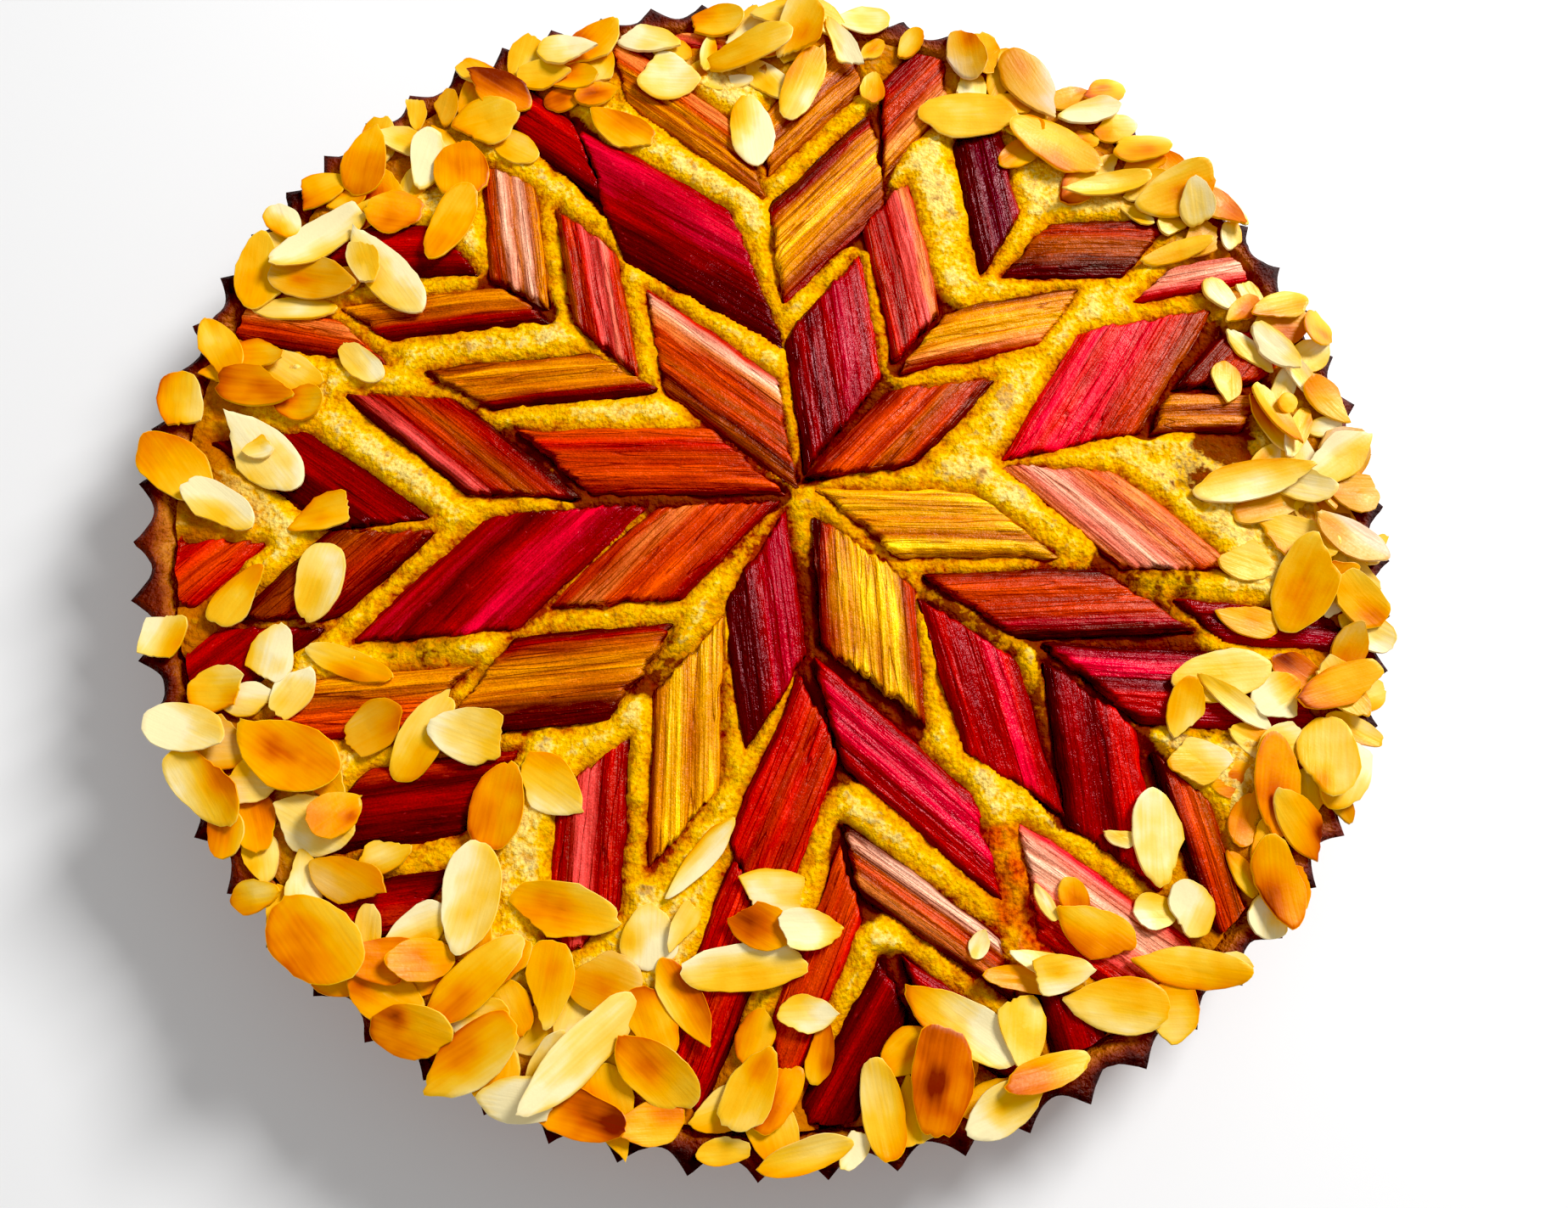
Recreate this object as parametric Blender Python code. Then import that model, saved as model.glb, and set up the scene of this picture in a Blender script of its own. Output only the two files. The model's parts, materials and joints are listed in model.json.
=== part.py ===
"""A rhubarb frangipane tart, 28 cm across its fluted pastry case.

Diamond cuts of rhubarb lie in an eight-armed star, sunk in baked frangipane, under a border of
flaked almonds. The tart stands on its base, centred on the Z axis. Lengths are in metres, apart
from the two placing tables, STAR and FLAKES, which are in millimetres.
"""

import math
import random

import bmesh
import bpy
from mathutils import Matrix, Vector

MM = 0.001

# Pastry case
FLUTES = 66
COLUMNS_PER_FLUTE = 4
TIP_RADIUS = 0.140
BASE_RADIUS = 0.131
CASE_HEIGHT = 0.0285
FLUTE_DEPTH = 0.0042
RIM_WAVE = 0.0005
RIM_OUTER_DROP = 0.0008
RIM_CREST_INSET = 0.0022
RIM_INNER_STEP = 0.0018
RIM_INNER_DROP = 0.0006
FLOOR_THICKNESS = 0.0045
INNER_RIM_RADIUS = 0.1316
INNER_RIM_HEIGHT = 0.0257
INNER_BASE_RADIUS = 0.1255

# Frangipane
GAP = 0.0003
FILL_HEIGHT = 0.0258
FILL_SEGMENTS = 72

# Rhubarb
STICK_TOP = 0.0280
STICK_TOP_SPREAD = 0.0010
STICK_THICKNESS = 0.0095
STICK_BOW = 0.0005
STAR_MARGIN = 0.0020
# Each step across a stick, as a share of its width, and how far it lies below the crown.
STICK_PROFILE = (
    (0.00, 0.0024),
    (0.08, 0.0008),
    (0.28, 0.0001),
    (0.42, 0.0008),
    (0.62, 0.0000),
    (0.92, 0.0008),
    (1.00, 0.0024),
)

# Almond flakes
FLAKE_SIDES = 8
FLAKE_THICKNESS = 0.0010
FLAKE_DOME = 0.0005
FLAKE_LIFT = 0.00035
FLAKE_HEIGHT_LIMIT = 0.0355
FLAKE_TILT = 0.09
PEG_RADIUS = 0.0014
PEG_CLEAR = 0.0021
PEG_DEPTH = 0.0009
PEG_PLACES = (0, 0.25, -0.25, 0.5, -0.5, 0.75, -0.75)
BORDER_INNER = 0.112
BORDER_OUTER = 0.1352
BORDER_TRIES = 1500
BORDER_SPACING = 0.011
BORDER_LENGTHS = (14, 20)
BORDER_PROPORTIONS = (0.50, 0.62)
BORDER_OVERLAP = 0.002
FLAKE_LIMIT = 116
SEED = 11

# The eight arms of the star, anticlockwise from the far side. Each rhubarb piece has its inner
# corner, the far end of its side along the fibres, the far end of its cut side, and its tone.
STAR = {
    "a": (
        ((3, 3), (-27, 26), (-2, 30), "orange"),
        ((0, 39), (-37, 61), (-13, 76), "crimson"),
        ((-34, 30), (-40, 62), (-48, 43), "pink"),
        ((-43, 78), (-64, 94), (-52, 101), "crimson"),
        ((-55, 48), (-60, 80), (-68, 55), "brown"),
        ((-4, 80), (-38, 107), (-9, 100), "gold"),
        ((-12, 124), (-38, 128), (-16, 133), "orange"),
    ),
    "b": (
        ((0, 2), (-43, 1), (-17, 16), "orange"),
        ((-29, 26), (-66, 21), (-45, 35), "gold"),
        ((-46, -1), (-74, 22), (-71, 0), "rust"),
        ((-55, 44), (-90, 38), (-67, 52), "gold"),
        ((-90, 31), (-122, 36), (-103, 42), "orange"),
        ((-78, -6), (-106, 14), (-99, -9), "dark"),
        ((-72, 56), (-102, 54), (-84, 68), "dark"),
    ),
    "c": (
        ((-2, -1), (-23, -24), (-29, -3), "rust"),
        ((-31, -2), (-57, -31), (-66, -6), "crimson"),
        ((-24, -30), (-58, -34), (-38, -51), "gold"),
        ((-77, -10), (-95, -29), (-99, -11), "dark"),
        ((-98, -32), (-115, -48), (-119, -33), "dark"),
        ((-112, -13), (-125, -27), (-130, -13), "red"),
        ((-66, -40), (-97, -43), (-80, -54), "orange"),
        ((-56, -58), (-86, -62), (-66, -75), "dark"),
        ((-66, -82), (-90, -85), (-78, -95), "dark"),
    ),
    "d": (
        ((0, -3), (4, -36), (-13, -25), "wine"),
        ((-14, -28), (-14, -64), (-28, -46), "gold"),
        ((3, -41), (-12, -76), (11, -59), "orange"),
        ((-33, -55), (-34, -90), (-47, -66), "red"),
        ((-11, -80), (-24, -113), (-5, -97), "orange"),
        ((11, -78), (-4, -112), (14, -92), "orange"),
    ),
    "e": (
        ((7, -4), (8, -34), (28, -21), "yellow"),
        ((6, -38), (38, -66), (12, -61), "crimson"),
        ((30, -24), (38, -57), (50, -38), "red"),
        ((57, -38), (59, -72), (75, -53), "crimson"),
        ((49, -73), (82, -97), (51, -96), "pale"),
        ((11, -73), (42, -95), (15, -87), "brown"),
        ((18, -100), (2, -126), (23, -111), "dark"),
        ((23, -100), (46, -116), (27, -112), "dark"),
        ((79, -58), (86, -92), (90, -70), "brown"),
        ((49, -105), (54, -127), (62, -110), "dark"),
    ),
    "f": (
        ((8, 2), (43, 2), (26, -13), "yellow"),
        ((31, -18), (70, -16), (52, -32), "rust"),
        ((51, 9), (77, -15), (78, 8), "peach"),
        ((57, -34), (100, -36), (77, -51), "crimson"),
        ((88, -23), (120, -25), (99, -33), "dark"),
    ),
    "g": (
        ((5, 5), (25, 27), (30, 9), "rust"),
        ((51, 11), (72, 44), (84, 19), "bright"),
        ((28, 33), (61, 41), (40, 49), "gold"),
        ((54, 60), (84, 61), (68, 76), "brown"),
        ((87, 54), (120, 61), (97, 63), "pale"),
        ((87, 19), (109, 20), (93, 28), "gold"),
        ((94, 31), (108, 46), (116, 33), "rust"),
    ),
    "h": (
        ((5, 7), (1, 40), (23, 32), "wine"),
        ((0, 50), (25, 78), (-2, 78), "gold"),
        ((27, 36), (21, 72), (38, 50), "red"),
        ((49, 60), (44, 98), (59, 78), "wine"),
        ((26, 89), (42, 108), (27, 117), "red"),
        ((-3, 87), (21, 114), (-5, 104), "brown"),
    ),
}

# The larger almond flakes: middle, turn from +X in degrees, length and width.
FLAKES = (
    (-28, 114, 0, 16, 15),
    (-7, 100, 97, 21, 11),
    (-38, 97, -38, 20, 10),
    (-53, 118, 5, 14, 10),
    (-70, 106, -25, 16, 10),
    (-72, 97, 20, 16, 12),
    (-85, 85, 75, 15, 8),
    (-77, 83, 95, 17, 12),
    (-91, 70, 0, 13, 11),
    (-78, 68, 65, 22, 9),
    (-92, 54, -55, 25, 11),
    (-108, 51, -10, 19, 11),
    (-108, 62, 40, 24, 10),
    (-117, 23, -5, 19, 9),
    (-115, 8, -50, 24, 12),
    (-96, 31, -50, 13, 7),
    (-122, -5, -40, 16, 9),
    (-100, -6, 15, 17, 8),
    (-99, -22, 75, 17, 10),
    (-107, -38, 80, 13, 9),
    (-91, -40, -20, 19, 6),
    (-101, -59, -35, 22, 13),
    (-86, -54, 30, 14, 10),
    (-75, -55, 65, 19, 9),
    (-65, -55, -20, 17, 11),
    (-49, -65, -35, 17, 11),
    (-59, -69, 80, 17, 10),
    (-95, -73, -30, 17, 12),
    (-63, -87, 78, 21, 11),
    (-87, -84, -30, 15, 9),
    (-91, -95, -50, 20, 14),
    (-61, -103, 42, 22, 9),
    (-45, -90, -10, 22, 11),
    (-47, -104, 82, 17, 9),
    (-41, -117, 42, 27, 9),
    (-72, -112, -20, 15, 10),
    (-28, -95, 90, 12, 11),
    (-21, -107, -58, 18, 7),
    (-26, -120, -45, 19, 10),
    (-8, -123, 62, 16, 9),
    (-8, -101, 5, 25, 9),
    (-3, -87, 0, 18, 9),
    (3, -110, 0, 11, 7),
    (33, -112, -35, 24, 10),
    (28, -123, 75, 21, 12),
    (17, -127, 100, 18, 8),
    (45, -113, 80, 15, 10),
    (49, -121, 12, 18, 6),
    (65, -109, -10, 20, 11),
    (80, -102, -10, 22, 8),
    (62, -95, -35, 17, 10),
    (77, -76, 85, 19, 11),
    (82, -91, 60, 11, 10),
    (95, -41, 5, 22, 11),
    (86, -49, 75, 14, 8),
    (107, -46, 30, 12, 10),
    (88, -60, 0, 13, 10),
    (103, -66, 78, 22, 10),
    (108, -74, -60, 17, 9),
    (115, -59, 75, 18, 11),
    (116, -20, 60, 23, 12),
    (103, -28, -20, 14, 8),
    (105, -14, -20, 13, 10),
    (108, 5, 12, 27, 9),
    (128, -9, -40, 18, 9),
    (120, -44, 15, 20, 9),
    (106, 31, 80, 11, 7),
    (118, 40, -55, 15, 7),
    (116, 22, -65, 17, 6),
    (98, 67, 15, 18, 5),
    (103, 79, 100, 12, 8),
    (82, 85, 12, 23, 6),
    (70, 96, -30, 25, 12),
    (48, 105, 0, 24, 13),
    (65, 114, -60, 22, 12),
    (79, 107, 5, 15, 7),
    (91, 96, 0, 15, 10),
    (48, 123, 95, 16, 9),
    (16, 124, -60, 15, 7),
    (6, 113, 68, 24, 9),
    (-8, 121, 15, 22, 10),
)

# Linear colour, and how rough the surface is.
TONES = {
    "crimson": ((0.420, 0.006, 0.022), 0.32),
    "dark": ((0.180, 0.004, 0.008), 0.34),
    "wine": ((0.330, 0.010, 0.045), 0.30),
    "red": ((0.520, 0.022, 0.022), 0.34),
    "bright": ((0.800, 0.030, 0.050), 0.34),
    "pink": ((0.600, 0.060, 0.070), 0.36),
    "pale": ((0.850, 0.280, 0.200), 0.40),
    "peach": ((0.720, 0.200, 0.100), 0.42),
    "orange": ((0.560, 0.070, 0.018), 0.38),
    "rust": ((0.420, 0.045, 0.018), 0.42),
    "brown": ((0.360, 0.095, 0.020), 0.44),
    "gold": ((0.500, 0.190, 0.022), 0.44),
    "yellow": ((0.750, 0.380, 0.030), 0.42),
}
PASTRY = ((0.330, 0.110, 0.025), 0.70)
FRANGIPANE = ((0.720, 0.420, 0.070), 0.85)
CASE_SHARP_ANGLE = 40
STICK_SHARP_ANGLE = 50
WELD = 1e-6


def clear_scene():
    for thing in list(bpy.data.objects):
        bpy.data.objects.remove(thing, do_unlink=True)


def collection(name, hidden=False):
    made = bpy.data.collections.new(name)
    bpy.context.scene.collection.children.link(made)
    made.hide_render = hidden
    return made


def material(name, colour, roughness):
    made = bpy.data.materials.get(name)
    if made is None:
        made = bpy.data.materials.new(name)
        made.use_nodes = True
        surface = made.node_tree.nodes["Principled BSDF"]
        surface.inputs["Base Color"].default_value = (*colour, 1)
        surface.inputs["Roughness"].default_value = roughness
        surface.inputs["Metallic"].default_value = 0
    return made


def add_object(name, mesh, home, surface=None):
    """Puts the bmesh in a new object, its faces turned outwards."""
    bmesh.ops.recalc_face_normals(mesh, faces=mesh.faces)
    data = bpy.data.meshes.new(name)
    mesh.to_mesh(data)
    mesh.free()
    thing = bpy.data.objects.new(name, data)
    home.objects.link(thing)
    if surface:
        data.materials.append(surface)
    if home.hide_render:
        thing.hide_render = True
        thing.display_type = "WIRE"
    return thing


def apply_boolean(thing, others, operation):
    """Cuts or joins with all of a collection, keeps the result, and removes the collection's objects."""
    if not others.objects:
        return
    modifier = thing.modifiers.new(operation.lower(), "BOOLEAN")
    modifier.operation = operation
    modifier.operand_type = "COLLECTION"
    modifier.collection = others
    modifier.solver = "EXACT"
    seen = thing.evaluated_get(bpy.context.evaluated_depsgraph_get())
    done = bpy.data.meshes.new_from_object(seen)
    thing.modifiers.remove(modifier)
    thing.data = done
    for other in list(others.objects):
        bpy.data.objects.remove(other, do_unlink=True)


def smooth(thing, sharpest):
    thing.data.shade_smooth()
    thing.data.set_sharp_from_angle(angle=math.radians(sharpest))


def make_case(home):
    """The pastry case: a turned profile, with the flutes pressed into its wall and a slightly wavy rim."""
    # Radius, height, and the share of the flutes' depth that shows there.
    outline = (
        (0.0, 0.0, 0.0),
        (BASE_RADIUS, 0.0, 0.6),
        (TIP_RADIUS, CASE_HEIGHT - RIM_OUTER_DROP, 1.0),
        (TIP_RADIUS - RIM_CREST_INSET, CASE_HEIGHT, 0.75),
        (INNER_RIM_RADIUS + RIM_INNER_STEP, CASE_HEIGHT - RIM_INNER_DROP, 0.1),
        (INNER_RIM_RADIUS, INNER_RIM_HEIGHT, 0.0),
        (INNER_BASE_RADIUS, FLOOR_THICKNESS, 0.0),
        (0.0, FLOOR_THICKNESS, 0.0),
    )
    columns = FLUTES * COLUMNS_PER_FLUTE
    mesh = bmesh.new()
    share = mesh.verts.layers.float.new("flute")
    line = [mesh.verts.new((radius, 0, height)) for radius, height, _ in outline]
    for vert, (_, _, part) in zip(line, outline):
        vert[share] = part
    for first, second in zip(line, line[1:]):
        mesh.edges.new((first, second))
    bmesh.ops.spin(
        mesh,
        geom=mesh.verts[:] + mesh.edges[:],
        axis=(0, 0, 1),
        angle=math.tau,
        steps=columns,
        use_merge=True,
    )
    bmesh.ops.remove_doubles(mesh, verts=mesh.verts, dist=WELD)
    for vert in mesh.verts:
        part = vert[share]
        if not part:
            continue
        radius = math.hypot(vert.co.x, vert.co.y)
        turn = math.atan2(vert.co.y, vert.co.x)
        pressed = radius - FLUTE_DEPTH * part * abs(math.sin(FLUTES * turn / 2))
        vert.co.x *= pressed / radius
        vert.co.y *= pressed / radius
        if vert.co.z > CASE_HEIGHT / 2:
            vert.co.z += RIM_WAVE * math.sin(7 * turn) * math.cos(3 * turn + 1)
    case = add_object("crust", mesh, home, material("baked pastry", *PASTRY))
    smooth(case, CASE_SHARP_ANGLE)
    return case


def make_frangipane(home):
    """The filling, up to the level that shows between the rhubarb pieces."""
    mesh = bmesh.new()
    depth = FILL_HEIGHT - FLOOR_THICKNESS - GAP
    bmesh.ops.create_cone(
        mesh,
        cap_ends=True,
        segments=FILL_SEGMENTS,
        radius1=INNER_BASE_RADIUS - GAP,
        radius2=INNER_RIM_RADIUS - 2 * GAP,
        depth=depth,
        matrix=Matrix.Translation((0, 0, FILL_HEIGHT - depth / 2)),
    )
    return add_object("frangipane", mesh, home, material("baked frangipane", *FRANGIPANE))


def flat(point):
    return Vector((point[0] * MM, point[1] * MM))


def diamond(corner, along, across, margin=0.0):
    """The four corners of a diamond, anticlockwise or clockwise, grown by a margin on every side."""
    start = flat(corner)
    fibre = flat(along) - start
    cut = flat(across) - start
    lean = fibre.angle(cut)
    grow = margin / math.sin(lean)
    start = start - grow * (fibre.normalized() + cut.normalized())
    fibre = fibre + 2 * grow * fibre.normalized()
    cut = cut + 2 * grow * cut.normalized()
    return start, start + fibre, start + fibre + cut, start + cut


def extrude(mesh, face, shift):
    """Draws a face out by a shift and returns the new end face."""
    drawn = bmesh.ops.extrude_face_region(mesh, geom=[face])["geom"]
    moved = [item for item in drawn if isinstance(item, bmesh.types.BMVert)]
    bmesh.ops.translate(mesh, vec=shift, verts=moved)
    return next(item for item in drawn if isinstance(item, bmesh.types.BMFace))


def make_stick(name, row, top, home):
    """One diamond of rhubarb: a crowned, ridged section drawn out along the fibres."""
    corner, along, across, tone = row
    colour, roughness = TONES[tone]
    start, fibre_end, _, cut_end = diamond(corner, along, across)
    fibre = (fibre_end - start).to_3d()
    cut = (cut_end - start).to_3d()
    base = start.to_3d()
    bottom = top - STICK_THICKNESS
    section = [
        base + cut * step + Vector((0, 0, top - drop)) for step, drop in STICK_PROFILE
    ]
    section.append(base + cut + Vector((0, 0, bottom)))
    section.append(base + Vector((0, 0, bottom)))
    mesh = bmesh.new()
    face = mesh.faces.new([mesh.verts.new(point) for point in section])
    bow = Vector((0, 0, STICK_BOW))
    middle = extrude(mesh, face, fibre / 2 + bow)
    extrude(mesh, middle, fibre / 2 - bow)
    mesh.faces.remove(middle)
    stick = add_object(name, mesh, home, material("rhubarb " + tone, colour, roughness))
    smooth(stick, STICK_SHARP_ANGLE)
    return stick


def make_pocket(row, bottom, home):
    """The hollow that a rhubarb piece leaves in the frangipane, with the gap round it."""
    corners = diamond(*row[:3], margin=GAP)
    mesh = bmesh.new()
    face = mesh.faces.new([mesh.verts.new(point.to_3d()) for point in corners])
    bmesh.ops.translate(mesh, vec=(0, 0, bottom - GAP), verts=mesh.verts)
    extrude(mesh, face, Vector((0, 0, 2 * CASE_HEIGHT)))
    return add_object("pocket", mesh, home)


def wall_radius(height):
    """The inner radius of the pastry case at a height."""
    slope = (INNER_RIM_RADIUS - INNER_BASE_RADIUS) / (INNER_RIM_HEIGHT - FLOOR_THICKNESS)
    return INNER_BASE_RADIUS + slope * (height - FLOOR_THICKNESS)


def make_trim(name, margin, home):
    """A round block that follows the case's wall inside it: what lies beyond is trimmed off."""
    mesh = bmesh.new()
    bmesh.ops.create_cone(
        mesh,
        cap_ends=True,
        segments=FILL_SEGMENTS,
        radius1=wall_radius(0) - margin,
        radius2=wall_radius(3 * CASE_HEIGHT) - margin,
        depth=3 * CASE_HEIGHT,
        matrix=Matrix.Translation((0, 0, 1.5 * CASE_HEIGHT)),
    )
    return add_object(name, mesh, home)


def trim_to_rim(thing, trim):
    modifier = thing.modifiers.new("rim", "BOOLEAN")
    modifier.operation = "INTERSECT"
    modifier.object = trim
    modifier.solver = "EXACT"
    seen = thing.evaluated_get(bpy.context.evaluated_depsgraph_get())
    done = bpy.data.meshes.new_from_object(seen)
    thing.modifiers.remove(modifier)
    thing.data = done


def space_between(first, second):
    """How far apart two convex outlines are, or less than zero where they overlap."""
    widest = -1.0
    for outline, other in ((first, second), (second, first)):
        middle = sum(outline, Vector((0, 0))) / len(outline)
        for start, end in zip(outline, outline[1:] + outline[:1]):
            side = end - start
            outward = Vector((side.y, -side.x)).normalized()
            if outward.dot(middle - start) > 0:
                outward.negate()
            widest = max(widest, min(outward.dot(point - start) for point in other))
    return widest


def disc(middle, radius):
    ring = [math.tau * step / FLAKE_SIDES for step in range(FLAKE_SIDES)]
    return [middle + radius * Vector((math.cos(turn), math.sin(turn))) for turn in ring]


class Flake:
    """One almond flake: its outline from above, the height it lies at, and what carries it."""

    def __init__(self, x, y, turn, length, width, rise):
        self.middle = flat((x, y))
        self.turn = math.radians(turn)
        self.half_length = length * MM / 2
        self.half_width = width * MM / 2
        self.rise = rise
        self.outline = [
            self.at(math.cos(step), math.sin(step))
            for step in (math.tau * k / FLAKE_SIDES for k in range(FLAKE_SIDES))
        ]
        self.low = 0.0
        self.carrier = None
        self.peg = None

    def at(self, along, across):
        offset = Vector((along * self.half_length, across * self.half_width))
        offset.rotate(Matrix.Rotation(self.turn, 2))
        return self.middle + offset

    @property
    def high(self):
        return self.low + self.rise + FLAKE_THICKNESS + FLAKE_DOME


def carrier_at(spot, sticks):
    """The node under a spot and the height its peg reaches down to, where one node alone is near."""
    radius = spot.length
    if radius > INNER_RIM_RADIUS + PEG_CLEAR:
        on_rim = radius < TIP_RADIUS - FLUTE_DEPTH - GAP
        return ("crust", CASE_HEIGHT - 2 * PEG_DEPTH) if on_rim else None
    if radius > INNER_RIM_RADIUS - STAR_MARGIN - PEG_CLEAR:
        return None
    near = disc(spot, PEG_CLEAR)
    for name, outline, top in sticks:
        if space_between(outline, near) < GAP:
            if min(depth_inside(outline, point) for point in near) < 0:
                return None
            return name, top - STICK_PROFILE[0][1] - PEG_DEPTH
    return "frangipane", FILL_HEIGHT - PEG_DEPTH


def depth_inside(outline, point):
    """How far a point is inside a convex outline."""
    middle = sum(outline, Vector((0, 0))) / len(outline)
    least = 1.0
    for start, end in zip(outline, outline[1:] + outline[:1]):
        side = end - start
        inward = Vector((-side.y, side.x)).normalized()
        if inward.dot(middle - start) < 0:
            inward.negate()
        least = min(least, inward.dot(point - start))
    return least


def settle(flake, sticks, laid):
    """Lays a flake on what is under it. It tells whether one of the nodes below can carry it."""
    below = [FILL_HEIGHT]
    below += [
        top + STICK_BOW
        for _, outline, top in sticks
        if space_between(outline, flake.outline) < GAP
    ]
    below += [
        other.high
        for other in laid
        if space_between(other.outline, flake.outline) < GAP
    ]
    reach = max(point.length for point in flake.outline)
    if reach > TIP_RADIUS - GAP:
        return False
    if reach > INNER_RIM_RADIUS - GAP:
        below.append(CASE_HEIGHT + RIM_WAVE)
    flake.low = max(below) + FLAKE_LIFT
    if flake.high > FLAKE_HEIGHT_LIMIT:
        return False
    for along in PEG_PLACES:
        spot = flake.at(along, 0)
        found = carrier_at(spot, sticks)
        if found is None:
            continue
        near = disc(spot, PEG_CLEAR)
        blocked = any(
            other.carrier != found[0] and space_between(other.outline, near) < GAP
            for other in laid
        )
        if not blocked:
            flake.carrier = found[0]
            flake.peg = (along, found[1])
            return True
    return False


def scatter_border(sticks, laid, draw):
    """Fills the almond border between the placed flakes, clear of the rhubarb."""
    for _ in range(BORDER_TRIES):
        if len(laid) >= FLAKE_LIMIT:
            return
        turn = draw.uniform(0, math.tau)
        reach = math.sqrt(draw.uniform(BORDER_INNER**2, BORDER_OUTER**2)) / MM
        length = draw.uniform(*BORDER_LENGTHS)
        flake = Flake(
            reach * math.cos(turn),
            reach * math.sin(turn),
            draw.uniform(0, 180),
            length,
            length * draw.uniform(*BORDER_PROPORTIONS),
            length * MM * FLAKE_TILT * draw.random(),
        )
        clear = all(
            space_between(outline, flake.outline) > -BORDER_OVERLAP
            for _, outline, _ in sticks
        )
        nearest = min((other.middle - flake.middle).length for other in laid)
        if clear and nearest > BORDER_SPACING and settle(flake, sticks, laid):
            laid.append(flake)


def lay_flakes(sticks):
    draw = random.Random(SEED)
    laid = []
    for x, y, turn, length, width in FLAKES:
        rise = length * MM * FLAKE_TILT * draw.random()
        flake = Flake(x, y, turn, length, width, rise)
        if settle(flake, sticks, laid):
            laid.append(flake)
    scatter_border(sticks, laid, draw)
    return laid


def make_flake(flake, home):
    """A domed oval plate, one end a little higher than the other."""
    mesh = bmesh.new()
    bmesh.ops.create_cone(
        mesh,
        cap_ends=True,
        segments=FLAKE_SIDES,
        radius1=1,
        radius2=1,
        depth=FLAKE_THICKNESS,
        matrix=Matrix.Translation((0, 0, FLAKE_THICKNESS / 2)),
    )
    mesh.normal_update()
    crown = [face for face in mesh.faces if face.normal.z > 0.9]
    bmesh.ops.poke(mesh, faces=crown, offset=FLAKE_DOME)
    for vert in mesh.verts:
        spot = flake.at(vert.co.x, vert.co.y)
        climb = flake.rise * (1 + vert.co.x) / 2
        vert.co = Vector((spot.x, spot.y, flake.low + climb + vert.co.z))
    return add_object("flake", mesh, home)


def make_peg(flake, home):
    """The foot, hidden under a flake, that joins it to what carries it."""
    along, bottom = flake.peg
    spot = flake.at(along, 0)
    top = flake.low + flake.rise * (1 + along) / 2 + FLAKE_THICKNESS / 2
    mesh = bmesh.new()
    bmesh.ops.create_cone(
        mesh,
        cap_ends=True,
        segments=4,
        radius1=PEG_RADIUS,
        radius2=PEG_RADIUS,
        depth=top - bottom,
        matrix=Matrix.Translation((spot.x, spot.y, (top + bottom) / 2)),
    )
    return add_object("peg", mesh, home)


def main():
    clear_scene()
    tart = collection("rhubarb_frangipane_tart")
    pockets = collection("pockets", hidden=True)
    nodes = {"crust": make_case(tart), "frangipane": make_frangipane(tart)}
    trims = collection("trims", hidden=True)
    stick_trim = make_trim("stick_trim", STAR_MARGIN, trims)
    pocket_trim = make_trim("pocket_trim", STAR_MARGIN - GAP, trims)
    heights = random.Random(SEED)
    sticks = []
    for arm, rows in STAR.items():
        for number, row in enumerate(rows, 1):
            name = f"rhubarb_{arm}{number:02d}"
            top = STICK_TOP + STICK_TOP_SPREAD * (heights.random() - 0.5)
            outline = list(diamond(*row[:3]))
            nodes[name] = make_stick(name, row, top, tart)
            pocket = make_pocket(row, top - STICK_THICKNESS, pockets)
            if max(point.length for point in outline) > wall_radius(0) - STAR_MARGIN:
                trim_to_rim(nodes[name], stick_trim)
                trim_to_rim(pocket, pocket_trim)
            sticks.append((name, outline, top))
    bpy.context.view_layer.update()
    apply_boolean(nodes["frangipane"], pockets, "DIFFERENCE")
    for trim in (stick_trim, pocket_trim):
        bpy.data.objects.remove(trim, do_unlink=True)

    laid = lay_flakes(sticks)
    for name, node in nodes.items():
        topping = collection("flakes on " + name, hidden=True)
        for flake in laid:
            if flake.carrier == name:
                make_flake(flake, topping)
                make_peg(flake, topping)
        bpy.context.view_layer.update()
        apply_boolean(node, topping, "UNION")
        bpy.data.collections.remove(topping)


main()
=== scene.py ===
import json
import math
import random

import bpy
import numpy as np
from mathutils import Matrix, Vector


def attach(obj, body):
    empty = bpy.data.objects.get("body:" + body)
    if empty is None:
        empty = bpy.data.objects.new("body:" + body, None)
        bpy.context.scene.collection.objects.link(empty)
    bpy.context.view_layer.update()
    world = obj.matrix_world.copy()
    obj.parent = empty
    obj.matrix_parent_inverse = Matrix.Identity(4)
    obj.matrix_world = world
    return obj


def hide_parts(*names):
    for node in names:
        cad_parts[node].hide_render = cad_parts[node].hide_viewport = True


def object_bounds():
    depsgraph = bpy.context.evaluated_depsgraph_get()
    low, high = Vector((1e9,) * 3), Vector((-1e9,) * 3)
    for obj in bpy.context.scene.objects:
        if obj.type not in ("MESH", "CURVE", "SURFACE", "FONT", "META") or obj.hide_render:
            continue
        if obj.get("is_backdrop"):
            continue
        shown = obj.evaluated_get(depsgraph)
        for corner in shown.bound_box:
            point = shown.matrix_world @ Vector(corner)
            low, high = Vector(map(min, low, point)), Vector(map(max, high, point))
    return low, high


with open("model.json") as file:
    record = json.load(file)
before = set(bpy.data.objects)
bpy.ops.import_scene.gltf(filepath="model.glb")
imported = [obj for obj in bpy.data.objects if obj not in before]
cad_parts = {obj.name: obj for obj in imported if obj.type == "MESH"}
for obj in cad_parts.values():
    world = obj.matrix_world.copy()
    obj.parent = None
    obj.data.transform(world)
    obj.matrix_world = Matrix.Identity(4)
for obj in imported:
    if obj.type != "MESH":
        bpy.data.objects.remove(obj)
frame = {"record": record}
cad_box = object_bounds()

MM = 0.001
SEED = 11

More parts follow.
